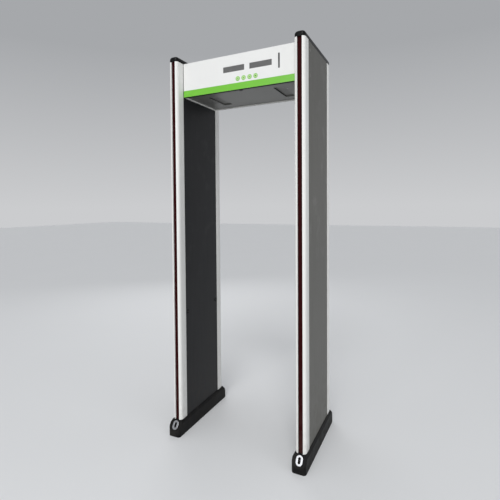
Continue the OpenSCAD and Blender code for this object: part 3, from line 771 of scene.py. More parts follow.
@dataclass
class Shape:
    """A mesh under construction, with the ways its pieces are drawn."""

    mesh: bmesh.types.BMesh = field(default_factory=bmesh.new)

    def skin(self, rings: Sequence[Ring]) -> None:
        """Joins rings of points into one closed skin, with a face at each end.

        Args:
            rings: Rings with the same number of points.
        """
        rows = [[self.mesh.verts.new(point) for point in ring] for ring in rings]
        for low, high in zip(rows, rows[1:]):
            for i in range(len(low)):
                j = (i + 1) % len(low)
                self.mesh.faces.new((low[i], low[j], high[j], high[i]))
        self.mesh.faces.new(rows[0][::-1])
        self.mesh.faces.new(rows[-1])

    def prism(
        self, outline: Sequence[Pair], low: float, high: float, along: Direction = Direction.Z
    ) -> None:
        """Draws a flat outline out along an axis.

        Args:
            outline: Its corners; along X they are (y, z), along Y (z, x), along Z (x, y).
            low: Where it starts.
            high: Where it ends.
            along: The axis.
        """
        turn = along.matrix()
        self.skin([[turn @ Vector((a, b, level)) for a, b in outline] for level in (low, high)])

    def block(self, low: Sequence[float], high: Sequence[float]) -> None:
        """Adds a box-shaped body between two corners."""
        outline = [(low[0], low[1]), (high[0], low[1]), (high[0], high[1]), (low[0], high[1])]
        self.prism(outline, low[2], high[2])

    def turned(
        self, profile: Sequence[Pair], centre: Sequence[float], along: Direction, steps: int
    ) -> None:
        """Turns a profile round an axis.

        Args:
            profile: (radius, distance along the axis) from one end to the other.
            centre: A point on the axis.
            along: The axis.
            steps: Number of steps round it.
        """
        turn = along.matrix()
        origin = Vector(centre)
        rings = []
        for reach, level in profile:
            radius = max(reach, NEAR_AXIS)
            ring = [Vector((radius * math.cos(a), radius * math.sin(a), level)) for a in circle_steps(steps)]
            rings.append([origin + turn @ point for point in ring])
        self.skin(rings)

    def tube(self, path: Sequence[Vector], radius: float, sides: int = 10) -> None:
        """Draws a round tube along a path.

        Args:
            path: Its points.
            radius: Its radius.
            sides: Number of sides.
        """
        rings = []
        side = Vector((0, 0, 1))
        for i, point in enumerate(path):
            ahead = path[min(i + 1, len(path) - 1)] - path[max(i - 1, 0)]
            ahead.normalize()
            across = ahead.cross(side)
            if across.length < 0.2:
                across = ahead.cross(Vector((0, 1, 0)))
            across.normalize()
            side = across.cross(ahead)
            rings.append([
                point + radius * (math.cos(a) * across + math.sin(a) * side) for a in circle_steps(sides)])
        self.skin(rings)

    def copy_node(self, node: str) -> None:
        """Takes over a frame node's mesh, welded and with its flat faces joined.

        Args:
            node: The node's name.
        """
        self.mesh.from_mesh(frame["nodes"][node].data)
        bmesh.ops.remove_doubles(self.mesh, verts=self.mesh.verts, dist=WELD_WITHIN)
        bmesh.ops.dissolve_limit(
            self.mesh, angle_limit=FLAT_WITHIN, use_dissolve_boundaries=False,
            verts=self.mesh.verts, edges=self.mesh.edges)

    def add(self, other: "Shape") -> None:
        """Takes over everything from another shape, which is used up.

        Args:
            other: The other shape.
        """
        scratch = bpy.data.meshes.new("merge")
        other.mesh.to_mesh(scratch)
        other.mesh.free()
        self.mesh.from_mesh(scratch)
        bpy.data.meshes.remove(scratch)

    def cut(self, tool: "Shape") -> None:
        """Cuts another shape out of this one.

        Args:
            tool: The shape to cut away, which is used up.
        """
        target, cutter = self.draft("cut_target"), tool.draft("cut_tool")
        step = target.modifiers.new("cut", "BOOLEAN")
        step.operation = "DIFFERENCE"
        step.solver = "EXACT"
        step.object = cutter
        bpy.context.view_layer.update()
        result = target.evaluated_get(bpy.context.evaluated_depsgraph_get())
        self.mesh = bmesh.new()
        self.mesh.from_mesh(result.data)
        bmesh.ops.dissolve_degenerate(self.mesh, dist=SLIVER, edges=self.mesh.edges[:])
        for draft in (target, cutter):
            bpy.data.objects.remove(draft)

    def draft(self, name: str) -> bpy.types.Object:
        """Puts the shape into the scene as it is.

        Args:
            name: The object's name.

        Returns:
            The new object.
        """
        bmesh.ops.recalc_face_normals(self.mesh, faces=self.mesh.faces)
        data = bpy.data.meshes.new(name)
        self.mesh.to_mesh(data)
        self.mesh.free()
        return placed(name, data)

    def piece(
        self, name: str, look: Looks, body: str,
        stands_for: Sequence[str] = (), soften: Softening | None = None
    ) -> None:
        """Finishes the shape as one piece of the gate.

        Args:
            name: The piece's name.
            look: Its finish.
            body: The body it moves with.
            stands_for: The frame nodes that it replaces.
            soften: How its sharp edges are rounded.
        """
        made = self.draft(name)
        made.data.materials.append(look.value.material())
        for face in made.data.polygons:
            face.use_smooth = True
        made.data.set_sharp_from_angle(angle=SMOOTH_BELOW)
        if soften:
            rounding = made.modifiers.new("rounding", "BEVEL")
            rounding.width = soften.width
            rounding.segments = soften.steps
            rounding.limit_method = "ANGLE"
            rounding.angle_limit = math.radians(soften.angle)
            rounding.harden_normals = True
        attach(made, body)
        if stands_for:
            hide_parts(*stands_for)
        LOG.info("%s: %d faces in %s", name, len(made.data.polygons), look.value.finish.name)


def placed(name: str, data: bpy.types.ID) -> bpy.types.Object:
    """Puts a mesh, a light or a camera into the scene as a new object.

    Args:
        name: The object's name.
        data: What it shows.

    Returns:
        The new object.
    """
    made = bpy.data.objects.new(name, data)
    bpy.context.scene.collection.objects.link(made)
    return made


def body_of(node: str) -> str:
    """The body that a frame node belongs to."""
    return frame["nodes"][node]["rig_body"]


def refined(node: str, name: str, look: Looks, soften: Softening) -> None:
    """Makes a piece from a frame node, with its edges rounded.

    Args:
        node: The node's name.
        name: The piece's name.
        look: Its finish.
        soften: How its sharp edges are rounded.
    """
    shape = Shape()
    shape.copy_node(node)
    shape.piece(name, look, body_of(node), [node], soften)


def dressed(node: str, look: Looks) -> None:
    """Gives a frame node that stays as it is its finish.

    Args:
        node: The node's name.
        look: The finish.
    """
    data = frame["nodes"][node].data
    data.materials.clear()
    data.materials.append(look.value.material())
    LOG.info("%s kept, in %s", node, look.value.finish.name)


# ---- Outlines and profiles -----------------------------------------------------------------------


def circle_steps(steps: int) -> list[float]:
    """Evenly spaced angles round a circle."""
    return [2 * math.pi * i / steps for i in range(steps)]


def rounded_outline(half_x: float, half_y: float, radius: float, steps: int = 8) -> list[Pair]:
    """Outline of a rectangle with round corners, centred on the origin.

    Args:
        half_x: Half its size along the first axis.
        half_y: Half its size along the second axis.
        radius: Corner radius.
        steps: Steps in each corner.

    Returns:
        Its points, anticlockwise.
    """
    points = []
    for corner, (side_x, side_y) in enumerate(((1, 1), (-1, 1), (-1, -1), (1, -1))):
        for i in range(steps + 1):
            angle = math.pi / 2 * (corner + i / steps)
            points.append((
                side_x * (half_x - radius) + radius * math.cos(angle),
                side_y * (half_y - radius) + radius * math.sin(angle)))
    return points


def rod(radius: float, height: float) -> list[Pair]:
    """Half section of a plain round rod, from its foot up."""
    return [(0.0, 0.0), (radius, 0.0), (radius, height), (0.0, height)]


def dome(radius: float, rim: float, top: float, steps: int = 6) -> list[Pair]:
    """Half section of a dome, from its rim to the axis.

    Args:
        radius: Radius of the rim.
        rim: Height of the rim.
        top: Height of the crown.
        steps: Number of steps.

    Returns:
        Its points.
    """
    turns = [math.pi / 2 * i / steps for i in range(steps + 1)]
    return [(radius * math.cos(turn), rim + (top - rim) * math.sin(turn)) for turn in turns]


def pan_head(radius: float, height: float) -> list[Pair]:
    """Half section of a pan screw head, from its seat up."""
    return [(0.0, 0.0), (radius, 0.0), *dome(radius, 0.35 * height, height)]


def bezier(first: Vector, second: Vector, third: Vector, last: Vector, steps: int) -> list[Vector]:
    """Points on a cubic curve.

    Args:
        first: Its start.
        second: First control point.
        third: Second control point.
        last: Its end.
        steps: Number of steps.

    Returns:
        The points.
    """
    points = []
    for i in range(steps + 1):
        t = i / steps
        u = 1 - t
        points.append(u ** 3 * first + 3 * u * u * t * second + 3 * u * t * t * third + t ** 3 * last)
    return points


# ---- Columns -------------------------------------------------------------------------------------


class Side(Enum):
    """The two columns, by the sign of their X."""

    LEFT = -1
    RIGHT = 1

    @property
    def word(self) -> str:
        """The side's name in node names."""
        return self.name.lower()


@dataclass
class Column:
    """One column: profiles, boards, light strips, cap, foot and what they hold."""

    side: Side
    profile_edge: Softening = Softening(1.0 * MM, 3)
    board_edge: Softening = Softening(0.5 * MM, 2)
    plug_edge: Softening = Softening(0.2 * MM, 2, 50)
    strip_crown: float = 1.3 * MM
    strip_ribs: int = 8
    steps_per_rib: int = 6
    rib_depth: float = 0.18 * MM
    cap_edge: float = 19 * MM
    cap_slope: float = 0.23
    cap_arc_steps: int = 14
    cap_crown_shares: tuple[float, ...] = (0.2, 0.4, 0.6, 0.8, 0.98)
    cap_roundness: float = 0.9
    cap_step: float = 0.8 * MM
    cap_step_height: float = 1.6 * MM
    cap_step_flare: float = 0.6 * MM
    foot_edge: Softening = Softening(2.2 * MM, 3, 24)
    ring_edge: Softening = Softening(1.3 * MM, 4)
    bezel_edge: Softening = Softening(0.6 * MM, 3)
    lens_radius: float = 5.7 * MM
    lens_height: float = 0.9 * MM
    lens_seat: float = 0.3 * MM
    bezel_depth: float = 1.35 * MM
    bolt_edge: Softening = Softening(0.4 * MM, 2)
    connector_edge: Softening = Softening(0.6 * MM, 2)

    def node(self, tail: str) -> str:
        """Name of one of this column's nodes."""
        return f"{self.side.word}_{tail}"

    def refine(self, node: str, name: str, look: Looks, soften: Softening) -> None:
        """Refines one of this column's nodes; both names are given without the side."""
        refined(self.node(node), self.node(name), look, soften)

    def build(self) -> None:
        """Builds the whole column."""
        for end in ("front", "rear"):
            self.refine(f"{end}_profile", f"{end}_nose", Looks.WHITE_PROFILE, self.profile_edge)
            self.strip(end)
        self.refine("outer_board", "outer_panel", Looks.OUTER_BOARD, self.board_edge)
        # The inner panel takes the laminate darkened with painted shade.
        self.refine("inner_board", "inner_panel", Looks.INNER_BOARD, self.board_edge)
        self.refine("bolt_plugs", "plug_buttons", Looks.PLUG, self.plug_edge)
        self.cap()
        self.refine("foot", "foot_shoe", Looks.BLACK_FOOT, self.foot_edge)
        self.refine("anchor_rings", "toe_rings", Looks.BRIGHT_RING, self.ring_edge)
        self.refine("beam_sensors", "sensor_bezels", Looks.BEZEL, self.bezel_edge)
        self.lenses()
        dressed(self.node("led_boards"), Looks.BOARD)
        dressed(self.node("coil_former"), Looks.FORMER)
        dressed(self.node("coils"), Looks.WINDING)
        self.refine("header_bolts", "bolt_set", Looks.ZINC, self.bolt_edge)
        self.refine("connector", "connector_shell", Looks.BLACK_PLASTIC, self.connector_edge)

    def strip(self, end: str) -> None:
        """Light strip: a crowned extrusion with fine ribs along it.

        Args:
            end: "front" or "rear".
        """
        node = self.node(f"{end}_light")
        low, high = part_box(node)
        outward = -1 if end == "front" else 1
        face, back = (low.y, high.y) if outward < 0 else (high.y, low.y)
        count = self.strip_ribs * self.steps_per_rib
        front = []
        for i in range(count + 1):
            share = i / count
            crown = self.strip_crown * (2 * share - 1) ** 2
            rib = self.rib_depth * (0.5 - 0.5 * math.cos(2 * math.pi * self.strip_ribs * share))
            front.append((low.x + (high.x - low.x) * share, face - outward * (crown + rib)))
        shape = Shape()
        shape.prism([*front, (high.x, back), (low.x, back)], low.z, high.z)
        shape.piece(self.node(f"{end}_strip"), Looks.RED_STRIP, body_of(node), [node])

    def cap(self) -> None:
        """Top cap: a soft pillow over a narrow shadow step."""
        node = self.node("top_cap")
        low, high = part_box(node)
        middle = (low + high) / 2
        half_x, half_y = (high.x - low.x) / 2, (high.y - low.y) / 2
        shoulder = self.cap_edge * (1 - math.cos(math.pi / 2 - self.cap_slope))
        rings = []
        for inset, level in self.cap_levels(low.z, high.z, half_x, shoulder):
            fullest = self.cap_roundness * (half_x - inset)
            blend = min(inset / shoulder, 1.0) ** 3
            corner = min((self.cap_edge - inset) * (1 - blend) + fullest * blend, fullest)
            outline = rounded_outline(half_x - inset, half_y - inset, corner)
            rings.append([Vector((middle.x + x, middle.y + y, level)) for x, y in outline])
        shape = Shape()
        shape.skin(rings)
        shape.piece(self.node("cap_pillow"), Looks.BLACK_CAP, body_of(node), [node])

    def cap_levels(self, foot: float, top: float, half_x: float, shoulder: float) -> list[Pair]:
        """Section of the cap: the step, an arc up to the shoulder, and a flat crown that meets it smoothly.

        Args:
            foot: Height of the cap's foot.
            top: Height of its crown.
            half_x: Half its width.
            shoulder: How far in from the side the arc ends.

        Returns:
            (inset from the side, height) from the foot up.
        """
        arc_end = math.pi / 2 - self.cap_slope
        rest = half_x - shoulder
        crown = rest * math.tan(self.cap_slope) / 2
        arc_foot = top - crown - self.cap_edge * math.sin(arc_end)
        step_top = foot + self.cap_step_height
        levels = [(self.cap_step, foot), (self.cap_step, step_top), (0.0, step_top + self.cap_step_flare)]
        for i in range(self.cap_arc_steps + 1):
            turn = arc_end * i / self.cap_arc_steps
            levels.append((self.cap_edge * (1 - math.cos(turn)), arc_foot + self.cap_edge * math.sin(turn)))
        return levels + [(shoulder + rest * s, top - crown * (1 - s) ** 2) for s in self.cap_crown_shares]

    def lenses(self) -> None:
        """Small domed lens in each beam sensor's bezel."""
        node = self.node("beam_sensors")
        low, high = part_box(node)
        radius = (high.z - low.z) / 2
        passage = -self.side.value
        bed = (low.x if passage < 0 else high.x) - passage * self.bezel_depth
        profile = [(0.0, -self.lens_seat), (self.lens_radius, -self.lens_seat)]
        profile += dome(self.lens_radius, 0.0, self.lens_height)
        for place, y in (("front", low.y + radius), ("rear", high.y - radius)):
            shape = Shape()
            centre = (bed, y, low.z + radius)
            shape.turned([(r, passage * x) for r, x in profile], centre, Direction.X, steps=32)
            shape.piece(self.node(f"{place}_lens"), Looks.SENSOR_LENS, body_of(node))


# ---- Header --------------------------------------------------------------------------------------


@dataclass
class HeaderShell:
    """Chassis of the header: covers, end plates, underside with its hatches, lock and inlet."""

    sheet_edge: Softening = Softening(0.7 * MM, 3)
    lock_body_edge: Softening = Softening(0.6 * MM, 3)
    barrel_edge: Softening = Softening(0.4 * MM, 2)
    pin_edge: Softening = Softening(0.5 * MM, 2)
    inlet_edge: Softening = Softening(0.8 * MM, 3)
    screw_radius: float = 3.6 * MM
    screw_height: float = 1.5 * MM
    recess_arm: float = 0.55
    recess_slot: float = 0.13
    recess_floor: float = 0.45
    rear_screws: int = 5
    rear_screw_margin: float = 12 * MM
    hatch_screw_margin: float = 4 * MM
    shank_radius: float = 2 * MM

    def build(self) -> None:
        """Builds the chassis."""
        for node, name, look, edge in (
            ("top_cover", "top_sheet", Looks.HEADER_SHEET, self.sheet_edge),
            ("left_end_plate", "left_end_sheet", Looks.HEADER_SHEET, self.sheet_edge),
            ("right_end_plate", "right_end_sheet", Looks.HEADER_SHEET, self.sheet_edge),
            ("underside_plate", "underside_sheet", Looks.UNDERSIDE, self.sheet_edge),
            ("left_hatch", "left_hatch_lid", Looks.HATCH, self.sheet_edge),
            ("right_hatch", "right_hatch_lid", Looks.HATCH, self.sheet_edge),
            ("lock_housing", "lock_body", Looks.BLACK_PLASTIC, self.lock_body_edge),
            ("lock_barrel", "lock_cylinder", Looks.LOCK, self.barrel_edge),
            ("hinge_pins", "hinge_pin_pair", Looks.ZINC, self.pin_edge),
            ("mains_inlet", "inlet_shell", Looks.BLACK_PLASTIC, self.inlet_edge),
            ("rear_cover", "rear_sheet", Looks.HEADER_SHEET, self.sheet_edge),
        ):
            refined(node, name, look, edge)
        self.rear_screw_heads()
        self.hatch_screw_set()

    def rear_screw_heads(self) -> None:
        """Screws that hold the rear cover, in a row near its top and one near its foot."""
        low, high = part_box("rear_cover")
        margin = self.rear_screw_margin
        reach = (high.x - low.x) / 2 - margin
        shape = Shape()
        for i in range(self.rear_screws):
            x = reach * (2 * i / (self.rear_screws - 1) - 1)
            for z in (low.z + margin, high.z - margin):
                self.screw_head(shape, (x, high.y, z), Direction.Y, 1)
        shape.piece("rear_cover_screws", Looks.ZINC, body_of("rear_cover"))

    def hatch_screw_set(self) -> None:
        """Screws that hold the hatches, each a head below the sheet and a shank above it."""
        low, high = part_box("hatch_screws")
        shank = rod(self.shank_radius, high.z - low.z - self.screw_height)
        shape = Shape()
        for x in (low.x + self.hatch_screw_margin, high.x - self.hatch_screw_margin):
            seat = (x, (low.y + high.y) / 2, low.z + self.screw_height)
            self.screw_head(shape, seat, Direction.Z, -1)
            shape.turned(shank, seat, Direction.Z, steps=24)
        shape.piece("hatch_screw_set", Looks.ZINC, body_of("hatch_screws"), ["hatch_screws"])

    def screw_head(self, shape: Shape, seat: Sequence[float], along: Direction, way: int) -> None:
        """Adds a pan head with a cross recess.

        Args:
            shape: The shape that takes it.
            seat: Where the head sits.
            along: The screw's axis.
            way: 1 or -1, the head's way along the axis.
        """
        arm, slot = self.screw_radius * self.recess_arm, self.screw_radius * self.recess_slot
        cross = []
        for i in range(4):
            for a, b in ((arm, slot), (slot, slot), (slot, arm)):
                cross.append(((a, b), (-b, a), (-a, -b), (b, -a))[i])
        head, recess = Shape(), Shape()
        profile = pan_head(self.screw_radius, self.screw_height)
        head.turned([(r, way * z) for r, z in profile], seat, along, steps=32)
        recess.prism(cross, self.screw_height * self.recess_floor, self.screw_height * 2)
        turn = along.matrix()
        for vertex in recess.mesh.verts:
            vertex.co.z *= way
            vertex.co = Vector(seat) + turn @ vertex.co
        head.cut(recess)
        shape.add(head)


@dataclass
class MainBoard:
    """Main board on its posts, with chips, capacitors, sockets and a heat sink."""

    thickness: float = 1.6 * MM
    thin_edge: Softening = Softening(0.3 * MM, 1)
    post_height: float = 15 * MM
    post_radius: float = 4 * MM
    post_inset: float = 8 * MM
    post_screw: Pair = (3.2 * MM, 2 * MM)
    chip_start: Pair = (30 * MM, 38 * MM)
    chip_pitch: Pair = (42 * MM, 46 * MM)
    chip_halves: Pair = (9 * MM, 13 * MM)
    chip_gap: float = 0.2 * MM
    chip_height: float = 2.4 * MM
    chip_edge: Softening = Softening(0.4 * MM, 2)
    can_count: int = 5
    can_start: Pair = (112 * MM, 24 * MM)
    can_pitch: float = 22 * MM
    can_stagger: float = 3 * MM
    can_radii: Pair = (4 * MM, 5 * MM)
    can_height: float = 15 * MM
    can_drop: float = 1 * MM
    can_bevel: float = 0.6 * MM
    socket_count: int = 6
    socket_start: float = 18 * MM
    socket_pitch: float = 22 * MM
    socket_inset: float = 12 * MM
    socket_half: Pair = (8 * MM, 4 * MM)
    socket_height: float = 9 * MM
    socket_edge: Softening = Softening(0.5 * MM, 2)
    sink_sides: Pair = (50 * MM, 20 * MM)
    sink_ends: Pair = (20 * MM, 30 * MM)
    sink_base: float = 2.5 * MM
    sink_height: float = 13 * MM
    sink_edge: Softening = Softening(0.25 * MM, 1)
    fins: int = 9
    fin_half: float = 0.6 * MM
    fin_seat: float = 0.1 * MM

    def __post_init__(self) -> None:
        """Takes the board's place from the frame."""
        self.low, self.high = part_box("main_board")
        self.body = body_of("main_board")
        self.deck = self.low.z + self.post_height
        self.top = self.deck + self.thickness

    def build(self) -> None:
        """Builds the board and everything on it."""
        plate = Shape()
        plate.block((self.low.x, self.low.y, self.deck), (self.high.x, self.high.y, self.top))
        plate.piece("main_board_plate", Looks.BOARD, self.body, ["main_board"], self.thin_edge)
        self.posts()
        self.chips()
        self.capacitors()
        self.sockets()
        self.heat_sink()

    def posts(self) -> None:
        """Four hexagonal posts with a screw on each."""
        post = rod(self.post_radius, self.post_height)
        shape = Shape()
        for x in (self.low.x + self.post_inset, self.high.x - self.post_inset):
            for y in (self.low.y + self.post_inset, self.high.y - self.post_inset):
                shape.turned(post, (x, y, self.low.z), Direction.Z, steps=6)
                shape.turned(pan_head(*self.post_screw), (x, y, self.top), Direction.Z, steps=24)
        shape.piece("main_board_posts", Looks.ZINC, self.body, (), self.thin_edge)

    def chips(self) -> None:
        """Two rows of chips, a small and a large one in each."""
        shape = Shape()
        for row in range(2):
            for column, half in enumerate(self.chip_halves):
                x = self.low.x + self.chip_start[0] + self.chip_pitch[0] * column
                y = self.low.y + self.chip_start[1] + self.chip_pitch[1] * row
                shape.block(
                    (x - half, y - half, self.top + self.chip_gap),
                    (x + half, y + half, self.top + self.chip_height))
        shape.piece("main_board_chips", Looks.BLACK_PLASTIC, self.body, (), self.chip_edge)

    def capacitors(self) -> None:
        """Staggered row of round cans, each a little lower than the one before."""
        shape = Shape()
        for i in range(self.can_count):
            radius, tall, bevel = self.can_radii[i % 2], self.can_height - self.can_drop * i, self.can_bevel
            x = self.low.x + self.can_start[0] + self.can_stagger * (i % 2)
            y = self.low.y + self.can_start[1] + self.can_pitch * i
            profile = [(0.0, 0.0), (radius, 0.0), (radius, tall - bevel), (radius - bevel, tall), (0.0, tall)]
            shape.turned(profile, (x, y, self.top), Direction.Z, steps=28)
        shape.piece("main_board_capacitors", Looks.SUPPLY, self.body)

    def socket_places(self) -> list[Pair]:
        """Centres of the sockets along the board's rear edge."""
        y = self.high.y - self.socket_inset
        return [(self.low.x + self.socket_start + self.socket_pitch * i, y) for i in range(self.socket_count)]

    def sockets(self) -> None:
        """Row of sockets for the loom's leads."""
        half_x, half_y = self.socket_half
        shape = Shape()
        for x, y in self.socket_places():
            shape.block(
                (x - half_x, y - half_y, self.top), (x + half_x, y + half_y, self.top + self.socket_height))
        shape.piece("main_board_connectors", Looks.NYLON, self.body, (), self.socket_edge)

    def heat_sink(self) -> None:
        """Heat sink: a base with upright fins."""
        left, right = self.high.x - self.sink_sides[0], self.high.x - self.sink_sides[1]
        front, rear = self.low.y + self.sink_ends[0], self.high.y - self.sink_ends[1]
        base = self.top + self.sink_base
        shape = Shape()
        shape.block((left, front, self.top), (right, rear, base))
        pitch = (right - left) / self.fins
        for i in range(self.fins):
            x = left + pitch * (i + 0.5)
            shape.block(
                (x - self.fin_half, front, base - self.fin_seat),
                (x + self.fin_half, rear, self.top + self.sink_height))
        shape.piece("main_board_heat_sink", Looks.SUPPLY, self.body, (), self.sink_edge)


@dataclass
class PowerSupply:
    """Power supply: a folded case with vent slots and a terminal strip."""

    case_edge: Softening = Softening(0.9 * MM, 2)
    slot_rows: int = 9
    rows_before: float = 1.5
    rows_spare: int = 3
    slot_half: float = 1.6 * MM
    slot_depth: float = 3 * MM
    slot_margin: float = 14 * MM
    slot_top_gap: float = 10 * MM
    terminals: int = 5
    terminal_start: float = 16 * MM
    terminal_pitch: float = 12 * MM
    terminal_half: float = 5.4 * MM
    terminal_reach: float = 9 * MM
    terminal_seat: float = 1 * MM
    terminal_heights: Pair = (6 * MM, 20 * MM)
    terminal_screw: Pair = (3 * MM, 1.6 * MM)
    terminal_edge: Softening = Softening(0.6 * MM, 2)

    def build(self) -> None:
        """Builds the case, then its terminal strip."""
        low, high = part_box("power_supply")
        body = body_of("power_supply")
        self.case(low, high, body)
        self.terminal_strip(low, body)

    def case(self, low: Vector, high: Vector, body: str) -> None:
        """Case with a row of slots in its top and in its side.

        Args:
            low: Its lower corner.
            high: Its upper corner.
            body: The body it moves with.
        """
        margin, depth = self.slot_margin, self.slot_depth
        case, slots = Shape(), Shape()
        case.block(low, high)
        for i in range(self.slot_rows):
            y = low.y + (high.y - low.y) * (i + self.rows_before) / (self.slot_rows + self.rows_spare)
            front, rear = y - self.slot_half, y + self.slot_half
            slots.block((low.x + margin, front, high.z - depth), (high.x - margin, rear, high.z + depth))
            slots.block(
                (low.x - depth, front, low.z + margin), (low.x + depth, rear, high.z - self.slot_top_gap))
        case.cut(slots)
        case.piece("power_supply_case", Looks.SUPPLY, body, ["power_supply"], self.case_edge)

    def terminal_strip(self, low: Vector, body: str) -> None:
        """Terminal blocks along the case's front, with a screw in each.

        Args:
            low: The case's lower corner.
            body: The body it moves with.
        """
        foot, head = (low.z + height for height in self.terminal_heights)
        face = low.y - self.terminal_reach
        strip, screws = Shape(), Shape()
        for i in range(self.terminals):
            x = low.x + self.terminal_start + self.terminal_pitch * i
            left, right = x - self.terminal_half, x + self.terminal_half
            strip.block((left, face, foot), (right, low.y + self.terminal_seat, head))
            profile = [(r, -y) for r, y in pan_head(*self.terminal_screw)]
            screws.turned(profile, (x, face, (foot + head) / 2), Direction.Y, steps=20)
        strip.piece("power_supply_terminals", Looks.BLACK_PLASTIC, body, (), self.terminal_edge)
        screws.piece("power_supply_terminal_screws", Looks.ZINC, body)


@dataclass
class Sounder:
    """Sounder: a flanged drum with ring grooves in its grille."""

    drum_radius: float = 24 * MM
    flange_height: float = 6 * MM
    flange_bevel: float = 0.8 * MM
    rim_round: float = 2 * MM
    rim_corner: float = 0.6 * MM
    grooves: int = 4
    groove_start: float = 4 * MM
    groove_pitch: float = 4.6 * MM
    groove_width: float = 2.2 * MM
    groove_slope: float = 0.3 * MM
    groove_depth: float = 2 * MM
    edge: Softening = Softening(0.3 * MM, 1, 40)

    def build(self) -> None:
        """Builds the drum."""
        low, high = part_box("sounder")
        middle = (low + high) / 2
        flange, drum, tall = (high.x - low.x) / 2, self.drum_radius, high.z - low.z
        profile = [
            (0.0, 0.0), (flange, 0.0), (flange, self.flange_height - self.flange_bevel),
            (flange - self.flange_bevel, self.flange_height), (drum, self.flange_height),
            (drum, tall - self.rim_round), (drum - self.rim_corner, tall - self.rim_corner),
            (drum - self.rim_round, tall)]
        for i in range(self.grooves):
            outer = drum - self.groove_start - self.groove_pitch * i
            inner, floor = outer - self.groove_width, tall - self.groove_depth
            profile += [
                (outer, tall), (outer - self.groove_slope, floor),
                (inner + self.groove_slope, floor), (inner, tall)]
        profile.append((0.0, tall))
        shape = Shape()
        shape.turned(profile, (middle.x, middle.y, low.z), Direction.Z, steps=56)
        shape.piece("sounder_drum", Looks.BLACK_PLASTIC, body_of("sounder"), ["sounder"], self.edge)


@dataclass
class Loom:
    """Wiring loom along the rear cover, its ties, and the leads that leave it."""

    board: MainBoard
    wires: int = 6
    wire_radius: float = 1.9 * MM
    wire_gap: float = 0.3 * MM
    half_twists: float = 5.0
    stations: int = 60
    ties: int = 7
    tie_half: float = 1.4 * MM
    tie_bevel: float = 0.2 * MM
    tie_gap: float = 0.35 * MM
    lead_radius: float = 1.3 * MM
    lead_sides: int = 8
    lead_spread: float = 1.5 * MM
    lead_steps: int = 18
    lead_root: Pair = (-5 * MM, -3 * MM)
    lead_pull: float = 0.3
    socket_seat: float = 0.6 * MM
    connector_lead: float = 30 * MM
    sounder_tip: Triple = (20 * MM, 18 * MM, 6 * MM)

    def __post_init__(self) -> None:
        """Takes the loom's place from the frame."""
        self.low, self.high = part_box("wiring_loom")
        self.middle = (self.low + self.high) / 2
        self.body = body_of("wiring_loom")
        half = min(self.high.y - self.low.y, self.high.z - self.low.z) / 2
        self.spread = half - self.wire_radius - self.wire_gap

    def build(self) -> None:
        """Builds the loom."""
        self.bundle()
        self.tie_rings()
        self.leads()

    def bundle(self) -> None:
        """Wires twisted round a straight one."""
        middle = self.middle
        shape = Shape()
        for wire in range(self.wires):
            path = []
            for i in range(self.stations + 1):
                share = i / self.stations
                angle = 2 * math.pi * wire / self.wires + self.half_twists * share * math.pi
                path.append(Vector((
                    self.low.x + (self.high.x - self.low.x) * share,
                    middle.y + self.spread * math.cos(angle),
                    middle.z + self.spread * math.sin(angle))))
            shape.tube(path, self.wire_radius)
        shape.tube([Vector((x, middle.y, middle.z)) for x in (self.low.x, self.high.x)], self.wire_radius)
        shape.piece("loom_wires", Looks.SLEEVE, self.body, ["wiring_loom"])

    def tie_rings(self) -> None:
        """Evenly spaced ties round the wires."""
        ring = self.spread + self.wire_radius + self.tie_gap
        rim = ring - self.tie_bevel
        flat = self.tie_half - self.tie_bevel
        profile = [(rim, -self.tie_half), (ring, -flat), (ring, flat), (rim, self.tie_half)]
        shape = Shape()
        for i in range(self.ties):
            x = self.low.x + (self.high.x - self.low.x) * (i + 0.5) / self.ties
            shape.turned(profile, (x, self.middle.y, self.middle.z), Direction.X, steps=24)
        shape.piece("loom_ties", Looks.NYLON, self.body)

    def lead_ends(self) -> list[tuple[float, Vector, Vector]]:
        """Where the leads go.

        Returns:
            For each lead: X where it leaves the loom, its tip, and the way that it leaves the tip.
        """
        socket_top = self.board.top + self.board.socket_height - self.socket_seat
        up = Vector((0, 0, 1))
        ends = [(x, Vector((x, y, socket_top)), up) for x, y in self.board.socket_places()]
        for side in Side:
            low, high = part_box(f"{side.word}_connector")
            tip = low.x if side is Side.RIGHT else high.x
            place = Vector((tip, (low.y + high.y) / 2, (low.z + high.z) / 2))
            ends.append((tip - side.value * self.connector_lead, place, Vector((-side.value, 0, 0))))
        low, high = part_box("sounder")
        drum = Vector(((low.x + high.x) / 2, (low.y + high.y) / 2, low.z))
        return [*ends, (drum.x, drum + Vector(self.sounder_tip), Vector((0, 1, 0)))]

    def leads(self) -> None:
        """Pairs of leads from the loom to the main board, the connectors and the sounder."""
        back, drop = self.lead_root
        shape = Shape()
        for x, tip, leave in self.lead_ends():
            start = Vector((x, self.middle.y + back, self.middle.z + drop))
            pull = (start - tip).length * self.lead_pull
            bend = start + Vector((0, -pull, -pull / 2))
            path = bezier(start, bend, tip + leave * pull, tip, self.lead_steps)
            for offset in (-self.lead_spread, self.lead_spread):
                aside = Vector((offset, 0, 0))
                shape.tube([point + aside for point in path], self.lead_radius, self.lead_sides)
        shape.piece("loom_leads", Looks.SLEEVE, "root")


# ---- Fascia --------------------------------------------------------------------------------------


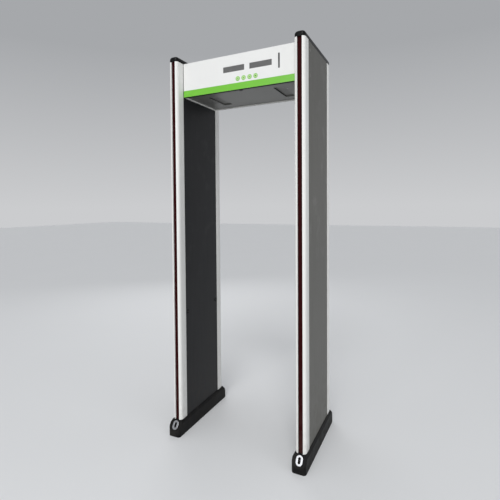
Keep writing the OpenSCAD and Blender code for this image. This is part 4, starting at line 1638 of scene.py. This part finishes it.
@dataclass
class Fascia:
    """Fascia door with its green strip, windows, signal bar, a black strip of painted shadow under its
    return, and what is behind them.
    """

    door_edge: Softening = Softening(0.9 * MM, 3)
    pane_edge: Softening = Softening(0.35 * MM, 2)
    module_edge: Softening = Softening(0.6 * MM, 2)
    board_edge: Softening = Softening(0.25 * MM, 1)
    keeper_edge: Softening = Softening(0.5 * MM, 2)
    seal_run: Pair = (1.7 * MM, 18.6 * MM)
    seal_end_gap: float = 1 * MM
    seal_depth: float = 0.6 * MM
    seal_seat: float = 0.2 * MM
    seal_lips: int = 3
    lip_rise: float = 0.35 * MM
    bead_height: float = 1.2 * MM
    bead_width: float = 0.5 * MM

    def build(self) -> None:
        """Builds the fascia."""
        for node, name, look, edge in (
            ("fascia_door", "fascia_tray", Looks.WHITE_FASCIA, self.door_edge),
            ("green_trim", "green_strip", Looks.GREEN, self.pane_edge),
            ("display_windows", "display_panes", Looks.SMOKED, self.pane_edge),
            ("signal_lens", "signal_pane", Looks.SIGNAL, self.pane_edge),
            ("display_modules", "display_blocks", Looks.BLACK_PLASTIC, self.module_edge),
            ("control_board", "control_board_set", Looks.BOARD, self.board_edge),
            ("lock_keeper", "keeper_plate", Looks.ZINC, self.keeper_edge),
        ):
            refined(node, name, look, edge)
        self.seal()

    def seal(self) -> None:
        """Painted shadow under the door's lower return: a black strip with lips along it and a bead behind.
        """
        low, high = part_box("fascia_door")
        start, end = (low.y + share for share in self.seal_run)
        floor, seat, bead = low.z - self.seal_depth, low.z + self.seal_seat, low.z + self.bead_height
        pitch = (end - start) / self.seal_lips
        outline = [(start, seat), (start, floor)]
        for i in range(self.seal_lips):
            crest = start + pitch * i
            outline += [
                (crest + pitch * 0.25, floor), (crest + pitch * 0.5, floor + self.lip_rise),
                (crest + pitch * 0.75, floor)]
        inner = end - self.bead_width
        outline += [(end, floor), (end, bead), (inner, bead), (inner, seat)]
        shape = Shape()
        shape.prism(outline, low.x + self.seal_end_gap, high.x - self.seal_end_gap, Direction.X)
        shape.piece("fascia_seal", Looks.SEAL, body_of("fascia_door"))


class Mark(Enum):
    """Plain marks on the four buttons."""

    MENU = 1
    UP = 2
    DOWN = 3
    ENTER = 4


@dataclass
class Button:
    """One round button: a turned cap with a raised rim, a pale dish in it, and a mark."""

    mark: Mark
    flange_width: float = 1.5 * MM
    flange_thickness: float = 1.5 * MM
    edge_round: float = 0.6 * MM
    rim_width: float = 2.4 * MM
    rim_crest: float = 0.3 * MM
    dish_depth: float = 0.5 * MM
    dish_slope: float = 0.9 * MM
    stem_radius: float = 3 * MM
    stem_length: float = 2 * MM
    insert_rise: float = 0.12 * MM
    insert_seat: float = 0.4 * MM
    insert_gap: float = 1.0 * MM
    insert_bevel: float = 0.3 * MM
    mark_rise: float = 0.45 * MM
    mark_seat: float = 0.1 * MM
    mark_edge: Softening = Softening(0.12 * MM, 1)
    bar_half: float = 4.4 * MM
    bar_height: float = 1.5 * MM
    bar_pitch: float = 3.15 * MM
    arrow_half: float = 4.6 * MM
    arrow_foot: float = 2.6 * MM
    arrow_tip: float = 4.2 * MM
    dot_radius: float = 4.2 * MM
    dot_steps: int = 32

    def __post_init__(self) -> None:
        """Takes the button's place from the frame."""
        self.node = f"button_{self.mark.value}"
        self.low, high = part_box(self.node)
        self.middle = (self.low + high) / 2
        self.deep = high.y - self.low.y
        self.flange = (high.x - self.low.x) / 2
        self.radius = self.flange - self.flange_width
        self.rim = self.radius - self.rim_width

    def build(self) -> None:
        """Builds the button."""
        self.turned_piece(self.cap_profile(), 56, "cap", Looks.BUTTON, [self.node])
        self.turned_piece(self.dish_profile(), 48, "dish", Looks.BUTTON_DISH)
        shape = Shape()
        dish = self.low.y + self.dish_depth
        for outline in self.mark_outlines():
            points = [(self.middle.z + z, self.middle.x + x) for x, z in outline]
            shape.prism(points, dish - self.mark_rise, dish + self.mark_seat, Direction.Y)
        shape.piece(f"{self.node}_mark", Looks.BUTTON_MARK, body_of(self.node), (), self.mark_edge)

    def turned_piece(
        self, profile: list[Pair], steps: int, tail: str, look: Looks, stands_for: Sequence[str] = ()
    ) -> None:
        """Turns a profile round the button's axis and finishes it.

        Args:
            profile: (radius, depth behind the button's face).
            steps: Number of steps round it.
            tail: End of the piece's name.
            look: Its finish.
            stands_for: The frame nodes that it replaces.
        """
        shape = Shape()
        shape.turned(profile, (self.middle.x, self.low.y, self.middle.z), Direction.Y, steps)
        shape.piece(f"{self.node}_{tail}", look, body_of(self.node), stands_for)

    def cap_profile(self) -> list[Pair]:
        """Draws the cap, from its dish over the rim and the flange to its stem.

        Returns:
            Its half section.
        """
        radius, soft, back = self.radius, self.edge_round, self.deep - self.stem_length
        return [
            (0.0, self.dish_depth), (self.rim - self.dish_slope, self.dish_depth),
            (self.rim, self.rim_crest / 3), (self.rim + self.rim_crest, 0.0),
            (radius - soft, 0.0), (radius - soft / 4, soft / 4), (radius, soft),
            (radius, back - self.flange_thickness), (self.flange, back - self.flange_thickness),
            (self.flange, back), (self.stem_radius, back), (self.stem_radius, self.deep), (0.0, self.deep)]

    def dish_profile(self) -> list[Pair]:
        """Draws the pale insert that lines the dish.

        Returns:
            Its half section.
        """
        face, side = self.dish_depth - self.insert_rise, self.rim - self.insert_gap
        back = self.dish_depth + self.insert_seat
        return [
            (0.0, face), (side - self.insert_bevel, face), (side, self.dish_depth), (side, back), (0.0, back)]

    def mark_outlines(self) -> list[list[Pair]]:
        """Draws the mark.

        Returns:
            Its outlines, as (x, z) from the button's centre.
        """
        if self.mark is Mark.MENU:
            half, rise = self.bar_half, self.bar_height / 2
            heights = (-self.bar_pitch, 0.0, self.bar_pitch)
            return [
                [(-half, z - rise), (half, z - rise), (half, z + rise), (-half, z + rise)] for z in heights]
        if self.mark is Mark.ENTER:
            radius = self.dot_radius
            return [[(radius * math.cos(a), radius * math.sin(a)) for a in circle_steps(self.dot_steps)]]
        way = 1 if self.mark is Mark.UP else -1
        foot, tip = -way * self.arrow_foot, way * self.arrow_tip
        return [[(-self.arrow_half, foot), (self.arrow_half, foot), (0.0, tip)]]


# ---- Studio --------------------------------------------------------------------------------------


@dataclass(frozen=True)
class Lamp:
    """One soft studio light."""

    name: str
    place: Triple
    aim: Triple
    size: float
    power: float


@dataclass
class Studio:
    """Pale floor, soft lights and the camera."""

    floor_half: float = 25.0
    floor_thickness: float = 0.05
    floor_finish: Finish = FloorPaint("pale_floor", paint(228, 229, 230))
    sky_shade: Colour = paint(166, 168, 171)
    horizon_shade: Colour = paint(203, 204, 206)
    horizon_top: float = 0.35
    sky_strength: float = 1.0
    sun_strength: float = 1.3
    sun_angle: float = 28.0
    sun_from: Triple = (0.25, -1.0, 1.05)
    lamps: tuple[Lamp, ...] = (
        Lamp("key_lamp", (0.1, -4.0, 2.3), (0.0, 0.0, 1.3), 2.0, 40.0),
        Lamp("side_lamp", (3.3, -0.9, 1.9), (0.4, 0.0, 1.1), 1.6, 8.0),
        Lamp("back_lamp", (-2.6, 3.2, 2.8), (0.0, 0.0, 1.2), 2.6, 24.0),
    )
    camera_place: Triple = (0.996, -2.1889, 1.3511)
    camera_yaw: float = 0.467
    camera_pitch: float = -0.0313
    camera_roll: float = -0.008
    sensor: float = 36.0
    lens: float = 28.89
    shift: Pair = (0.0288, -0.0629)

    def build(self) -> None:
        """Sets the studio up."""
        self.floor()
        self.sky()
        self.sun()
        for lamp in self.lamps:
            self.hang(lamp)
        self.camera()

    def floor(self) -> None:
        """Large pale floor."""
        half = self.floor_half
        shape = Shape()
        shape.block((-half, -half, -self.floor_thickness), (half, half, 0.0))
        slab = shape.draft("studio_floor")
        slab.data.materials.append(self.floor_finish.make())

    def sky(self) -> None:
        """Even pale surroundings, a little lighter near the horizon."""
        world = bpy.data.worlds.new("studio_surroundings")
        world.use_nodes = True
        bench = Bench("studio_surroundings", world.node_tree)
        outward = bench.signal("ShaderNodeTexCoord", {}, {}, "Generated")
        level = bench.signal("ShaderNodeSeparateXYZ", {}, {0: outward}, "Z")
        tone = bench.layered(self.horizon_shade, (bench.span(level, 0.0, self.horizon_top), self.sky_shade))
        backdrop = bench.node("ShaderNodeBackground", {}, {"Color": tone, "Strength": self.sky_strength})
        bench.node("ShaderNodeOutputWorld", {}, {"Surface": backdrop.outputs[0]})
        bpy.context.scene.world = world

    def sun(self) -> None:
        """Broad overhead light that reaches the whole floor evenly."""
        data = bpy.data.lights.new("overhead_light", "SUN")
        data.energy = self.sun_strength
        data.angle = math.radians(self.sun_angle)
        placed("overhead_light", data).rotation_euler = facing(-Vector(self.sun_from))

    def hang(self, lamp: Lamp) -> None:
        """Hangs one area light.

        Args:
            lamp: The light.
        """
        data = bpy.data.lights.new(lamp.name, "AREA")
        data.shape = "SQUARE"
        data.size = lamp.size
        data.energy = lamp.power
        made = placed(lamp.name, data)
        made.visible_camera = False
        made.location = lamp.place
        made.rotation_euler = facing(Vector(lamp.aim) - Vector(lamp.place))

    def camera(self) -> None:
        """Camera at standing height, front right."""
        data = bpy.data.cameras.new("gate_camera")
        data.lens = self.lens
        data.sensor_width = self.sensor
        data.shift_x, data.shift_y = self.shift
        made = placed("gate_camera", data)
        made.matrix_world = Matrix.Translation(self.camera_place) @ self.camera_turn()
        bpy.context.scene.camera = made

    def camera_turn(self) -> Matrix:
        """Puts together the camera's yaw, its pitch, and a small roll about the way it looks.

        Returns:
            The camera's turn.
        """
        yaw, level = self.camera_yaw, math.cos(self.camera_pitch)
        ahead = Vector((-math.sin(yaw) * level, math.cos(yaw) * level, math.sin(self.camera_pitch)))
        right = Vector((math.cos(yaw), math.sin(yaw), 0.0))
        above = right.cross(ahead)
        even, tilt = math.cos(self.camera_roll), math.sin(self.camera_roll)
        rows = (even * right + tilt * above, even * above - tilt * right, -ahead)
        return Matrix(rows).transposed().to_4x4()


def facing(ahead: Vector) -> Euler:
    """The turn that points a lamp a given way."""
    return ahead.to_track_quat("-Z", "Y").to_euler()


# ---- The whole gate ------------------------------------------------------------------------------


def main() -> None:
    """Builds the gate, then the studio."""
    logging.basicConfig(level=logging.INFO, format="%(name)s: %(message)s")
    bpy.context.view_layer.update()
    board = MainBoard()
    columns = [Column(side) for side in Side]
    header = [HeaderShell(), board, PowerSupply(), Sounder(), Loom(board)]
    fascia = [Fascia(), *(Button(mark) for mark in Mark)]
    for part in (*columns, *header, *fascia, Studio()):
        part.build()
        LOG.info("%s built", type(part).__name__)
    bpy.context.scene.view_settings.view_transform = "Standard"


if __name__ == "__main__":
    main()
